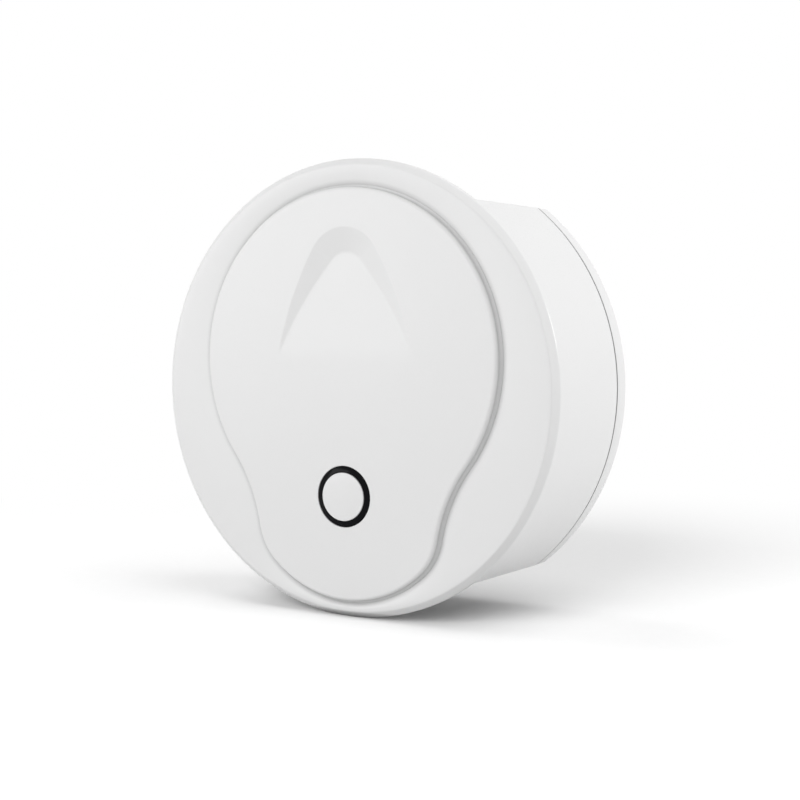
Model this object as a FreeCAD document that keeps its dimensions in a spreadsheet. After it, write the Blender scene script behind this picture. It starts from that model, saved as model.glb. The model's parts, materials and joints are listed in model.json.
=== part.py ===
import FreeCAD, Part
import math
import os
import re

import Sketcher

# Smart home gateway: a round puck with a raised pear-shaped plate and one push button.
# Millimetres. +Z is up, the front faces -Y, and the origin is the centre of the rear pad's face.
# Heights over the rear pad are measured forward, towards -Y, and are called levels here.

Vector = FreeCAD.Vector
FORWARD = FreeCAD.Rotation(Vector(1, 0, 0), 90)  # turns a local +Z to -Y, the forward way
TINY = 1e-4

SIZES = {
    # Case
    "rim_radius": 35.0,
    "rim_front": 1.05,
    "rim_bevel": 0.95,
    "rim_soft": 0.5,
    "lip_back": 0.7,
    "case_depth": 23.2,
    "side_draft": 0.97,
    "flat_cut": 7.0,
    "dish_drop": 0.3,
    "dish_width": 13.0,
    "wall": 2.2,
    "front_wall": 1.8,
    "seam_gap": 0.35,
    "tongue_thick": 0.9,
    "tongue_length": 1.2,
    "tongue_gap": 0.1,
    # Rear cover and its pad
    "cover_step": 0.02,
    "cover_side": 4.15,
    "cover_floor": 1.6,
    "cover_edge": 1.2,
    "pad_proud": 0.4,
    "pad_thick": 1.0,
    "pad_margin": 3.65,
    "pad_flat_margin": 3.4,
    "pad_gap": 0.2,
    # Pear-shaped plate
    "plate_front": 1.9,
    "plate_thick": 2.2,
    "plate_edge": 0.55,
    "plate_foot": 0.45,
    "plate_foot_thick": 1.0,
    "pear_top_margin": 4.4,
    "pear_side_margin": 9.08,
    "pear_bottom_margin": 2.71,
    "pear_waist_radius": 26.09,
    "pear_foot_x": 6.95,
    "pear_foot_rise": 11.9,
    "pear_foot_radius": 9.19,
    "groove_gap": 0.05,
    "groove_soft": 0.1,
    "stake_high_x": 17.0,
    "stake_high_z": 12.0,
    "stake_low_x": 7.5,
    "stake_low_drop": 23.0,
    "stake_radius": 1.1,
    "stake_head": 1.8,
    "stake_head_thick": 0.8,
    "stake_gap": 0.1,
    # Arch scoop
    "arch_margin": 5.93,
    "arch_nose": 6.465,
    "arch_side": 53.12,
    "arch_long": 20.87,
    "arch_foot_x": 12.31,
    "arch_fade": 19.37,
    "arch_slope_wide": 3.8,
    "arch_depth": 0.8,
    "arch_over": 0.08,
    "arch_beyond": 1.0,
    # Button, ring and light guide
    "button_rise": 4.09,
    "ring_radius": 4.65,
    "ring_bore": 3.76,
    "ring_recess": 0.14,
    "ring_rise": 0.3,
    "ring_gap": 0.05,
    "ring_flange": 5.6,
    "ring_flange_thick": 0.8,
    "cap_gap": 0.06,
    "cap_proud": 0.3,
    "cap_edge": 0.2,
    "cap_top": 1.2,
    "cap_skirt": 0.9,
    "cap_flange": 4.3,
    "cap_flange_thick": 0.8,
    "cap_stop_gap": 0.05,
    "stem_radius": 1.5,
    "press_gap": 0.05,
    "guide_bore": 4.5,
    "guide_radius": 5.7,
    "guide_gap": 0.05,
    "guide_collar": 7.0,
    "guide_collar_thick": 0.8,
    "guide_light_gap": 0.3,
    # Tact switch and status lights
    "switch_side": 6.0,
    "switch_height": 3.4,
    "plunger_radius": 1.75,
    "plunger_gap": 0.05,
    "plunger_proud": 1.0,
    "plunger_inside": 1.4,
    "plunger_well": 2.2,
    "leg_width": 0.7,
    "leg_thick": 0.25,
    "leg_reach": 1.2,
    "leg_rise": 0.45,
    "leg_pitch": 4.5,
    "light_long": 1.6,
    "light_wide": 0.8,
    "light_thick": 0.6,
    "light_radius": 5.1,
    # Main board and its screws
    "board_thick": 1.2,
    "board_gap": 0.5,
    "board_flat_gap": 0.7,
    "board_boss_length": 5.9,
    "board_boss_radius": 2.6,
    "board_screw_x": 17.0,
    "board_screw_margin": 5.1,
    "board_hole": 1.1,
    "board_screw_head": 1.9,
    "board_screw_head_thick": 1.3,
    "board_screw_radius": 0.9,
    "board_screw_length": 5.0,
    "pilot_gap": 0.02,
    "pilot_extra": 0.6,
    # Case screws and the bosses that take them
    "case_boss_radius": 3.0,
    "case_boss_margin": 11.0,
    "case_boss_z": 15.0,
    "case_boss_end": 5.1,
    "notch_gap": 0.6,
    "post_radius": 3.4,
    "post_gap": 0.1,
    "post_root": 0.5,
    "post_seat": 1.6,
    "case_hole": 1.3,
    "case_screw_head": 2.0,
    "case_screw_head_thick": 1.6,
    "head_gap": 0.3,
    "case_screw_radius": 1.0,
    "case_screw_length": 8.0,
    # Power socket
    "usb_wide": 8.94,
    "usb_thick": 3.16,
    "usb_long": 7.35,
    "usb_wall": 0.3,
    "usb_back": 1.0,
    "usb_inset": 0.9,
    "usb_gap": 0.2,
    "usb_recess_wide": 12.8,
    "usb_recess_thick": 7.0,
    "usb_recess_deep": 0.8,
    "tab_wide": 6.69,
    "tab_thick": 0.7,
    "tab_short": 1.0,
    "contact_wide": 0.26,
    "contact_pitch": 0.5,
    "contact_thick": 0.06,
    "contact_long": 3.8,
    # Radio modules
    "wifi_left": -14.0,
    "wifi_top_gap": 0.6,
    "wifi_wide": 18.0,
    "wifi_tall": 25.5,
    "module_thick": 0.8,
    "wifi_can_wide": 15.8,
    "wifi_can_tall": 17.6,
    "wifi_can_thick": 2.3,
    "can_inset": 1.1,
    "mesh_gap": 0.9,
    "mesh_low": -1.0,
    "mesh_wide": 12.0,
    "mesh_tall": 16.0,
    "mesh_can_wide": 9.8,
    "mesh_can_tall": 10.4,
    "mesh_can_thick": 1.9,
    "can_corner": 0.5,
    "antenna_long": 5.2,
    "antenna_wide": 2.0,
    "antenna_thick": 1.1,
    "antenna_edge": 0.8,
    # Power parts
    "coil_x": -14.5,
    "coil_drop": 12.5,
    "coil_side": 5.0,
    "coil_thick": 2.8,
    "coil_corner": 0.9,
    "regulator_x": -8.5,
    "regulator_drop": 8.5,
    "regulator_long": 4.9,
    "regulator_wide": 3.9,
    "regulator_thick": 1.5,
    "lead_width": 0.4,
    "lead_reach": 1.0,
    "lead_thick": 0.25,
    "lead_pitch": 1.27,
    "can_x": 13.5,
    "can_drop": 15.0,
    "can_pitch": 7.2,
    "can_radius": 2.5,
    "can_tall": 4.8,
    "can_base_side": 5.3,
    "can_base_thick": 0.6,
    "crystal_x": 1.5,
    "crystal_drop": 6.0,
    "crystal_long": 3.2,
    "crystal_wide": 2.5,
    "crystal_thick": 0.8,
    "memory_x": 20.5,
    "memory_drop": 5.5,
    "chip_long": 1.6,
    "chip_wide": 0.8,
    "chip_thick": 0.6,
    "chip_row_left": -22.0,
    "chip_row_drop": 4.5,
    "chip_pitch": 2.2,
}

# Counts
CONTACTS_PER_SIDE = 12
LEADS_PER_SIDE = 4
CHIPS_PER_ROW = 6

doc = FreeCAD.newDocument("Gateway")
sheet = doc.addObject("Spreadsheet::Sheet", "Sizes")
for row, (word, number) in enumerate(SIZES.items(), 1):
    sheet.set(f"A{row}", word)
    sheet.set(f"B{row}", str(number))
    sheet.setAlias(f"B{row}", word)
doc.recompute()

# Levels, as sums of the named sizes
REAR = "pad_proud"
COVER_EDGE = f"{REAR} + cover_side"
HOUSING_EDGE = f"{COVER_EDGE} + seam_gap"
RIM = f"{REAR} + case_depth"
LIP = f"{RIM} - lip_back"
RIM_FRONT = f"{RIM} + rim_front"
PLATE_FACE = f"{RIM} + plate_front"
PLATE_BACK = f"{PLATE_FACE} - plate_thick"
INNER_FACE = f"{PLATE_BACK} - front_wall"
BOARD_FRONT = f"{INNER_FACE} - board_boss_length"
BOARD_REAR = f"{BOARD_FRONT} - board_thick"
SWITCH_TOP = f"{BOARD_FRONT} + switch_height"
PLUNGER_TIP = f"{SWITCH_TOP} + plunger_proud"
RING_BACK = f"{PLATE_BACK} - ring_flange_thick"
COVER_FLOOR = f"{REAR} + cover_floor"
PAD_SEAT = "pad_thick"
POST_END = "case_boss_end - post_gap"
HEAD_SEAT = f"{POST_END} - post_seat"
SOCKET_LEVEL = f"{BOARD_REAR} - usb_thick / 2"

# Radii, heights and places that follow the rim
SEAM_RADIUS = "(rim_radius + side_draft)"
FLAT_HALF = "(rim_radius - flat_cut)"
DISH_RADIUS = "(rim_radius - dish_width)"
COVER_RADIUS = f"({SEAM_RADIUS} - cover_step)"
COVER_WALL = "(wall - tongue_thick - tongue_gap)"
PAD_RADIUS = f"({COVER_RADIUS} - pad_margin)"
PAD_HALF = f"({FLAT_HALF} - pad_flat_margin)"
CROWN_RADIUS = "(rim_radius - pear_side_margin)"
CROWN_Z = "(pear_side_margin - pear_top_margin)"
PEAR_BOTTOM = "(rim_radius - pear_bottom_margin)"
FOOT_DROP = f"({PEAR_BOTTOM} - pear_foot_rise)"
ARCH_TOP = "(rim_radius - pear_top_margin - arch_margin)"
BUTTON_Z = f"(button_rise - {FOOT_DROP})"
BOARD_RADIUS = "(rim_radius - wall - board_gap)"
BOARD_HALF = f"({FLAT_HALF} - wall - board_flat_gap)"
BOARD_SCREW_Z = f"({BOARD_HALF} - board_screw_margin)"
CASE_BOSS_X = "(rim_radius - case_boss_margin)"
WIFI_LOW = f"({BOARD_HALF} - wifi_top_gap - wifi_tall)"
MESH_RIGHT = f"({CASE_BOSS_X} - case_boss_radius - notch_gap - mesh_gap)"
MOUTH = f"(usb_inset - {FLAT_HALF})"


def bound(text):
    """The expression with every named size looked up in the sheet."""
    def lookup(word):
        return f"Sizes.{word[0]}" if word[0] in SIZES else word[0]

    return re.sub(r"[A-Za-z_]+", lookup, text)


def bind(thing, **sizes):
    """Binds each named property of a thing to an expression."""
    for prop, text in sizes.items():
        thing.setExpression(prop, bound(text))


def place(thing, x, level, z):
    """Puts a thing's origin at x, at a level over the rear face and at z."""
    for axis, text in (("x", x), ("y", f"-({level})"), ("z", z)):
        thing.setExpression(f"Placement.Base.{axis}", bound(text))


# Part primitives


def cylinder(name, radius, length, x, level, z):
    """A cylinder that runs forward from a level."""
    rod = doc.addObject("Part::Cylinder", name)
    rod.Placement.Rotation = FORWARD
    bind(rod, Radius=radius, Height=length)
    place(rod, x, level, z)
    return rod


def block(name, wide, deep, tall, x, level, z):
    """A box centred on x and z that runs forward from a level."""
    brick = doc.addObject("Part::Box", name)
    bind(brick, Length=wide, Width=deep, Height=tall)
    place(brick, f"{x} - ({wide}) / 2", f"{level} + {deep}", f"{z} - ({tall}) / 2")
    return brick


def joined(name, pieces):
    """The pieces as one solid."""
    whole = doc.addObject("Part::MultiFuse", name)
    whole.Shapes = pieces
    return whole


def group(name, pieces):
    """Separate solids under one name."""
    bag = doc.addObject("Part::Compound", name)
    bag.Links = pieces
    return bag


def cut(name, base, tool):
    """The base with the tool's space taken out."""
    rest = doc.addObject("Part::Cut", name)
    rest.Base = base
    rest.Tool = tool
    return rest


def common(name, one, other):
    """The space that two things share."""
    shared = doc.addObject("Part::MultiCommon", name)
    shared.Shapes = [one, other]
    return shared


# Sketches


def new_body(name):
    """An empty body."""
    return doc.addObject("PartDesign::Body", name)


def new_sketch(body, name, plane, lift=None):
    """A sketch on one of the body's origin planes, lifted along the plane's normal."""
    sketch = body.newObject("Sketcher::SketchObject", name)
    support = [face for face in body.Origin.OriginFeatures if face.Role == plane][0]
    sketch.AttachmentSupport = [(support, "")]
    sketch.MapMode = "FlatFace"
    if lift is not None:
        sketch.setExpression("AttachmentOffset.Base.z", bound(lift))
    return sketch


def hold(sketch, kind, *where, size=None):
    """Adds a constraint, bound to a size where one is given."""
    if size is None:
        sketch.addConstraint(Sketcher.Constraint(kind, *where))
        return
    spot = sketch.addConstraint(Sketcher.Constraint(kind, *where))
    sketch.setExpression(f"Constraints[{spot}]", bound(size))


def pin(sketch, shape, corner, x, y, rough=(1.0, 1.0)):
    """Holds a point of a shape at two coordinates, given with their rough values."""
    for kind, text, near in (("DistanceX", x, rough[0]), ("DistanceY", y, rough[1])):
        hold(sketch, kind, shape, corner, near, size=text)


def polygon(sketch, points):
    """A closed outline through points given as pairs of expressions."""
    total = len(points)
    turn = [2 * math.pi * step / total for step in range(total)]
    rough = [Vector(math.cos(angle), math.sin(angle), 0) for angle in turn]
    after = rough[1:] + rough[:1]
    sides = [sketch.addGeometry(Part.LineSegment(*ends)) for ends in zip(rough, after)]
    for step, side in enumerate(sides):
        hold(sketch, "Coincident", side, 2, sides[(step + 1) % total], 1)
        pin(sketch, side, 1, *points[step])


def rectangle(sketch, left, right, low, high):
    """A rectangle between two x and two y expressions."""
    polygon(sketch, [(left, low), (right, low), (right, high), (left, high)])


def circle(sketch, radius, x="0", y="0"):
    """A circle about a point."""
    ring = sketch.addGeometry(Part.Circle(Vector(0, 0, 0), Vector(0, 0, 1), 1.0))
    pin(sketch, ring, 3, x, y)
    hold(sketch, "Radius", ring, 1.0, size=radius)


def arc(sketch, centre, radius, start, end):
    """A rough arc, from a start angle round to an end angle."""
    whole = Part.Circle(Vector(*centre, 0), Vector(0, 0, 1), radius)
    return sketch.addGeometry(Part.ArcOfCircle(whole, start, end))


def flatted_circle(sketch, radius, half):
    """A circle about the origin, cut flat at plus and minus the half height."""
    rough = SIZES["rim_radius"]
    rise = rough - SIZES["flat_cut"]
    lean = math.asin(rise / rough)
    reach = rough * math.cos(lean)
    right = arc(sketch, (0, 0), rough, -lean, lean)
    left = arc(sketch, (0, 0), rough, math.pi - lean, math.pi + lean)
    top = sketch.addGeometry(Part.LineSegment(Vector(reach, rise, 0), Vector(-reach, rise, 0)))
    low = sketch.addGeometry(Part.LineSegment(Vector(-reach, -rise, 0), Vector(reach, -rise, 0)))
    for one, other in ((right, top), (top, left), (left, low), (low, right)):
        hold(sketch, "Coincident", one, 2, other, 1)
    for side in (right, left):
        hold(sketch, "Coincident", side, 3, -1, 1)
        hold(sketch, "Radius", side, rough, size=radius)
    hold(sketch, "Horizontal", top)
    hold(sketch, "Horizontal", low)
    hold(sketch, "DistanceY", right, 2, rise, size=half)
    hold(sketch, "DistanceY", right, 1, -rise, size=f"-({half})")


def stadium(sketch, wide, tall, y):
    """A slot with round ends, centred on x = 0."""
    rough = 3.0
    right = arc(sketch, (rough, 0), rough, -math.pi / 2, math.pi / 2)
    left = arc(sketch, (-rough, 0), rough, math.pi / 2, 3 * math.pi / 2)
    top = sketch.addGeometry(Part.LineSegment(Vector(rough, rough, 0), Vector(-rough, rough, 0)))
    low = sketch.addGeometry(Part.LineSegment(Vector(-rough, -rough, 0), Vector(rough, -rough, 0)))
    for one, other in ((right, top), (top, left), (left, low), (low, right)):
        hold(sketch, "Tangent", one, 2, other, 1)
    hold(sketch, "Horizontal", top)
    hold(sketch, "Horizontal", low)
    pin(sketch, right, 3, f"({wide} - {tall}) / 2", y, (rough, 0))
    hold(sketch, "DistanceX", left, 3, -rough, size=f"-({wide} - {tall}) / 2")
    hold(sketch, "Radius", right, rough, size=f"{tall} / 2")


def pear(sketch, grow="0", extra=0.0):
    """The plate's outline in tangent arcs: crown, two waists, two feet and the bottom.

    The grow expression, and its value as extra, set it outward all round.
    """
    crown_r = SIZES["rim_radius"] - SIZES["pear_side_margin"]
    waist_r = SIZES["pear_waist_radius"]
    foot_r = SIZES["pear_foot_radius"]
    drop = SIZES["rim_radius"] - SIZES["pear_bottom_margin"]
    depth = SIZES["pear_foot_rise"]
    crown = Vector(0, SIZES["pear_side_margin"] - SIZES["pear_top_margin"], 0)
    foot = Vector(SIZES["pear_foot_x"], depth - drop, 0)
    bottom_r = (foot.x**2 + depth**2 - foot_r**2) / (2 * (depth - foot_r))
    bottom = Vector(0, bottom_r - drop, 0)
    # The waist's centre lies at known distances from the crown's and the foot's centres.
    apart = foot - crown
    near = crown_r + waist_r
    far = foot_r + waist_r
    along = (near**2 - far**2 + apart.Length**2) / (2 * apart.Length)
    aside = math.sqrt(near**2 - along**2)
    way = apart / apart.Length
    waist = crown + way * along + Vector(-way.y, way.x, 0) * aside

    def bearing(centre, target):
        """The angle at which a target is seen from a centre."""
        return math.atan2(target.y - centre.y, target.x - centre.x)

    crown_start = bearing(crown, waist)
    foot_end = bearing(foot, waist)
    foot_start = bearing(bottom, foot)
    crown_arc = arc(sketch, (0, crown.y), crown_r + extra, crown_start, math.pi - crown_start)
    left_waist = arc(sketch, (-waist.x, waist.y), waist_r - extra, -foot_end, -crown_start)
    left_foot = arc(sketch, (-foot.x, foot.y), foot_r + extra, math.pi - foot_end, math.pi - foot_start)
    bottom_arc = arc(sketch, (0, bottom.y), bottom_r + extra, math.pi - foot_start, 2 * math.pi + foot_start)
    right_foot = arc(sketch, (foot.x, foot.y), foot_r + extra, foot_start, foot_end)
    right_waist = arc(sketch, (waist.x, waist.y), waist_r - extra, math.pi + crown_start, math.pi + foot_end)
    joints = (
        (crown_arc, 2, left_waist, 2),
        (left_waist, 1, left_foot, 1),
        (left_foot, 2, bottom_arc, 1),
        (bottom_arc, 2, right_foot, 1),
        (right_foot, 2, right_waist, 2),
        (right_waist, 1, crown_arc, 1),
    )
    for joint in joints:
        hold(sketch, "Tangent", *joint)
    pin(sketch, crown_arc, 3, "0", CROWN_Z, (0, crown.y))
    pin(sketch, right_foot, 3, "pear_foot_x", f"-{FOOT_DROP}", (foot.x, foot.y))
    pin(sketch, left_foot, 3, "-pear_foot_x", f"-{FOOT_DROP}", (-foot.x, foot.y))
    squares = "(pear_foot_x^2 + pear_foot_rise^2 - pear_foot_radius^2)"
    hold(sketch, "Radius", crown_arc, crown_r + extra, size=f"{CROWN_RADIUS} + {grow}")
    bottom_size = f"{squares} / (2 * (pear_foot_rise - pear_foot_radius)) + {grow}"
    hold(sketch, "Radius", bottom_arc, bottom_r + extra, size=bottom_size)
    for side in (left_foot, right_foot):
        hold(sketch, "Radius", side, foot_r + extra, size=f"pear_foot_radius + {grow}")
    for side in (left_waist, right_waist):
        hold(sketch, "Radius", side, waist_r - extra, size=f"pear_waist_radius - ({grow})")


def arch(sketch):
    """The scoop's outer outline: a small nose arc, two long side arcs and a straight foot."""
    nose_r = SIZES["arch_nose"]
    side_r = SIZES["arch_side"]
    top = SIZES["rim_radius"] - SIZES["pear_top_margin"] - SIZES["arch_margin"]
    nose_z = top - nose_r
    foot_x = SIZES["arch_foot_x"]
    foot_z = top - SIZES["arch_long"]
    # The side's centre lies side_r - nose_r from the nose's centre and side_r from the foot's corner.
    apart = Vector(foot_x, foot_z - nose_z, 0)
    near = side_r - nose_r
    along = (near**2 - side_r**2 + apart.Length**2) / (2 * apart.Length)
    aside = math.sqrt(near**2 - along**2)
    way = apart / apart.Length
    side = Vector(0, nose_z, 0) + way * along + Vector(way.y, -way.x, 0) * aside
    join = math.atan2(nose_z - side.y, -side.x)
    foot = math.atan2(foot_z - side.y, foot_x - side.x)
    nose_arc = arc(sketch, (0, nose_z), nose_r, join, math.pi - join)
    left = arc(sketch, (-side.x, side.y), side_r, math.pi - join, math.pi - foot)
    right = arc(sketch, (side.x, side.y), side_r, foot, join)
    base = sketch.addGeometry(Part.LineSegment(Vector(-foot_x, foot_z, 0), Vector(foot_x, foot_z, 0)))
    hold(sketch, "Tangent", nose_arc, 2, left, 1)
    hold(sketch, "Tangent", right, 2, nose_arc, 1)
    hold(sketch, "Coincident", left, 2, base, 1)
    hold(sketch, "Coincident", base, 2, right, 1)
    pin(sketch, nose_arc, 3, "0", f"{ARCH_TOP} - arch_nose", (0, nose_z))
    pin(sketch, base, 1, "-arch_foot_x", f"{ARCH_TOP} - arch_long", (-foot_x, foot_z))
    pin(sketch, base, 2, "arch_foot_x", f"{ARCH_TOP} - arch_long", (foot_x, foot_z))
    hold(sketch, "Radius", nose_arc, nose_r, size="arch_nose")
    hold(sketch, "Radius", left, side_r, size="arch_side")
    hold(sketch, "Radius", right, side_r, size="arch_side")


# Features


def pad(body, name, sketch, length):
    """Extrudes a sketch along its normal."""
    step = body.newObject("PartDesign::Pad", name)
    step.Profile = sketch
    bind(step, Length=length)
    doc.recompute()
    return step


def pocket(body, name, sketch, length=None, reverse=False, both=False):
    """Cuts a sketch against its normal, or right through where no length is given."""
    before = body.Shape.Volume
    step = body.newObject("PartDesign::Pocket", name)
    step.Profile = sketch
    step.Reversed = reverse
    if length is None:
        step.Type = "ThroughAll"
        step.Midplane = both
    else:
        bind(step, Length=length)
    doc.recompute()
    if body.Shape.Volume > before - TINY:
        raise RuntimeError(f"{name} cuts nothing")
    return step


def soften(body, name, radius, wanted):
    """Rounds the edges of the body's last feature that a test picks."""
    base = body.Tip
    picked = [f"Edge{spot}" for spot, edge in enumerate(base.Shape.Edges, 1) if wanted(edge, base.Shape)]
    step = body.newObject("PartDesign::Fillet", name)
    step.Base = (base, picked)
    bind(step, Radius=radius)
    doc.recompute()
    return step


def foremost(edge, whole):
    """Whether an edge lies in the plane of the shape's front."""
    return edge.BoundBox.YMax < whole.BoundBox.YMin + TINY


def rearmost(edge, whole):
    """Whether an edge lies in the plane of the shape's rear."""
    return edge.BoundBox.YMin > whole.BoundBox.YMax - TINY


def four(x, z):
    """The four places that plus and minus x and z make."""
    return [(f"{a}{x}", f"{b}{z}") for a in ("", "-") for b in ("", "-")]


BOARD_SCREWS = four("board_screw_x", BOARD_SCREW_Z)
CASE_SCREWS = four(CASE_BOSS_X, "case_boss_z")
STAKES = [
    ("stake_high_x", "stake_high_z"),
    ("-stake_high_x", "stake_high_z"),
    ("stake_low_x", "-stake_low_drop"),
    ("-stake_low_x", "-stake_low_drop"),
]


def band(name, radius, half, level, length):
    """A cylinder about the case's axis, cut flat at the top and bottom."""
    rod = cylinder(f"{name}_round", radius, length, "0", level, "0")
    slab = block(f"{name}_slab", f"3 * ({radius})", length, f"2 * ({half})", "0", level, "0")
    return common(name, rod, slab)


def make_front_housing():
    """Rim, dished front wall, side wall with two flats, tongue and bosses."""
    body = new_body("housing_shape")
    profile = new_sketch(body, "housing_profile", "XY_Plane")
    polygon(
        profile,
        [
            ("0", f"-({HOUSING_EDGE})"),
            (SEAM_RADIUS, f"-({HOUSING_EDGE})"),
            ("rim_radius", f"-({RIM_FRONT} - rim_bevel)"),
            ("rim_radius - rim_bevel", f"-({RIM_FRONT})"),
            (DISH_RADIUS, f"-({RIM_FRONT} - dish_drop)"),
            ("0", f"-({RIM_FRONT} - dish_drop)"),
        ],
    )
    turned = body.newObject("PartDesign::Revolution", "housing_turned")
    turned.Profile = profile
    turned.ReferenceAxis = (profile, ["V_Axis"])
    turned.Angle = 360.0
    doc.recompute()

    def bevel_ends(edge, whole):
        """The two circles where the rim's bevel begins and ends."""
        box = edge.BoundBox
        return foremost(edge, whole) or (box.YLength < TINY and abs(box.XMax - SIZES["rim_radius"]) < TINY)

    soften(body, "rim_softened", "rim_soft", bevel_ends)

    flats = new_sketch(body, "flats_outline", "XZ_Plane", LIP)
    beyond = f"2 * {SEAM_RADIUS}"
    rectangle(flats, f"-{beyond}", beyond, FLAT_HALF, beyond)
    rectangle(flats, f"-{beyond}", beyond, f"-{beyond}", f"-{FLAT_HALF}")
    pocket(body, "flats_cut", flats)

    seat = new_sketch(body, "seat_outline", "XZ_Plane", PLATE_BACK)
    pear(seat, "(plate_foot + groove_gap)", SIZES["plate_foot"] + SIZES["groove_gap"])
    pocket(body, "seat_cut", seat, reverse=True)

    def groove_edge(edge, whole):
        """Whether an edge of the dish isn't part of a circle about the case's axis."""
        in_dish = edge.BoundBox.YMax < whole.BoundBox.YMin + SIZES["dish_drop"] + TINY
        curve = edge.Curve
        turned = curve.TypeId == "Part::GeomCircle" and math.hypot(curve.Center.x, curve.Center.z) < TINY
        return in_dish and not turned

    soften(body, "groove_softened", "groove_soft", groove_edge)

    # The hollow follows the outer wall's draft.
    cone = doc.addObject("Part::Cone", "hollow_cone")
    cone.Placement.Rotation = FORWARD
    deep = f"({INNER_FACE} - ({HOUSING_EDGE}))"
    bind(cone, Radius1=f"{SEAM_RADIUS} - wall", Radius2="rim_radius - wall", Height=deep)
    place(cone, "0", HOUSING_EDGE, "0")
    half = f"{FLAT_HALF} - wall"
    slab = block("hollow_slab", f"3 * {SEAM_RADIUS}", deep, f"2 * ({half})", "0", HOUSING_EDGE, "0")
    hollow = common("hollow", cone, slab)
    shell = cut("housing_shell", body, hollow)

    radius = f"{SEAM_RADIUS} - wall"
    level = f"{HOUSING_EDGE} - tongue_length"
    thicker = [f"{size} + tongue_thick" for size in (radius, half)]
    outside = band("tongue_outside", *thicker, level, "tongue_length")
    inside = band("tongue_inside", radius, half, level, "tongue_length")
    solids = [shell, cut("tongue", outside, inside)]
    holes = []
    for spot, (x, z) in enumerate(BOARD_SCREWS):
        boss = cylinder(f"board_boss_{spot}", "board_boss_radius", "board_boss_length", x, BOARD_FRONT, z)
        solids.append(boss)
        deep = "board_screw_length - board_thick + pilot_extra"
        radius = "board_screw_radius + pilot_gap"
        holes.append(cylinder(f"board_pilot_{spot}", radius, deep, x, BOARD_FRONT, z))
    for spot, (x, z) in enumerate(CASE_SCREWS):
        tall = f"{INNER_FACE} - case_boss_end"
        solids.append(cylinder(f"case_boss_{spot}", "case_boss_radius", tall, x, "case_boss_end", z))
        deep = f"{HEAD_SEAT} + case_screw_length - case_boss_end + pilot_extra"
        radius = "case_screw_radius + pilot_gap"
        holes.append(cylinder(f"case_pilot_{spot}", radius, deep, x, "case_boss_end", z))
    for spot, (x, z) in enumerate(STAKES):
        radius = "stake_radius + stake_gap"
        holes.append(cylinder(f"stake_hole_{spot}", radius, "front_wall", x, INNER_FACE, z))
    radius = "guide_radius + guide_gap"
    holes.append(cylinder("guide_hole", radius, "front_wall", "0", INNER_FACE, BUTTON_Z))
    holes.append(socket_opening())
    return cut("front_housing", joined("housing_solid", solids), joined("housing_holes", holes))


def socket_opening():
    """The slot that the power socket fills, and the shallow recess round it for the plug."""
    body = new_body("socket_opening")
    recess = new_sketch(body, "recess_outline", "XY_Plane", f"-{FLAT_HALF}")
    stadium(recess, "usb_recess_wide", "usb_recess_thick", f"-({SOCKET_LEVEL})")
    pad(body, "recess_pad", recess, "usb_recess_deep")
    slot = new_sketch(body, "slot_outline", "XY_Plane", f"-{FLAT_HALF}")
    stadium(slot, "(usb_wide + 2 * usb_gap)", "(usb_thick + 2 * usb_gap)", f"-({SOCKET_LEVEL})")
    pad(body, "slot_pad", slot, "wall")
    return body


def make_face_plate():
    """Pear-shaped plate with a thin foot, the ring's hole, the arch scoop and four staked posts."""
    body = new_body("plate_shape")
    outline = new_sketch(body, "plate_outline", "XZ_Plane", PLATE_BACK)
    pear(outline)
    pad(body, "plate_pad", outline, "plate_thick")
    soften(body, "plate_softened", "plate_edge", foremost)
    foot = new_sketch(body, "foot_outline", "XZ_Plane", PLATE_BACK)
    pear(foot, "plate_foot", SIZES["plate_foot"])
    pad(body, "foot_pad", foot, "plate_foot_thick")
    hole = new_sketch(body, "ring_hole_outline", "XZ_Plane", PLATE_FACE)
    circle(hole, "ring_radius + ring_gap", "0", BUTTON_Z)
    pocket(body, "ring_hole", hole)

    scoop = new_body("arch_scoop")
    rim = new_sketch(scoop, "arch_outline", "XZ_Plane", PLATE_FACE)
    arch(rim)
    deepest = "arch_depth * (arch_fade + arch_beyond) / (arch_fade - arch_slope_wide)"
    sink = scoop.newObject("PartDesign::Pad", "arch_pad")
    sink.Profile = rim
    sink.Reversed = True
    bind(sink, Length="arch_depth + arch_over", TaperAngle="-atan(arch_slope_wide / arch_depth)")
    doc.recompute()
    floor = new_sketch(scoop, "arch_floor", "YZ_Plane")
    behind = f"-({PLATE_FACE}) + 2 * arch_depth"
    polygon(
        floor,
        [
            (f"-({PLATE_FACE})", f"{ARCH_TOP} - arch_fade"),
            (f"-({PLATE_FACE}) + {deepest}", f"{ARCH_TOP} + arch_beyond"),
            (behind, f"{ARCH_TOP} + arch_beyond"),
            (behind, f"{ARCH_TOP} - arch_long - arch_beyond"),
            (f"-({PLATE_FACE})", f"{ARCH_TOP} - arch_long - arch_beyond"),
        ],
    )
    pocket(scoop, "arch_floor_cut", floor, both=True)

    posts = [cut("plate_scooped", body, scoop)]
    for spot, (x, z) in enumerate(STAKES):
        posts.append(cylinder(f"stake_{spot}", "stake_radius", "front_wall", x, INNER_FACE, z))
        level = f"{INNER_FACE} - stake_head_thick"
        posts.append(cylinder(f"stake_head_{spot}", "stake_head", "stake_head_thick", x, level, z))
    return joined("face_plate", posts)


def turned_piece(name, profile_points):
    """A piece turned about the button's axis, from pairs of radius and level."""
    body = new_body(name)
    body.setExpression("Placement.Base.z", bound(BUTTON_Z))
    sketch = new_sketch(body, f"{name}_profile", "XY_Plane")
    polygon(sketch, [(radius, f"-({level})") for radius, level in profile_points])
    turned = body.newObject("PartDesign::Revolution", f"{name}_turned")
    turned.Profile = sketch
    turned.ReferenceAxis = (sketch, ["V_Axis"])
    turned.Angle = 360.0
    doc.recompute()
    return body


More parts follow.
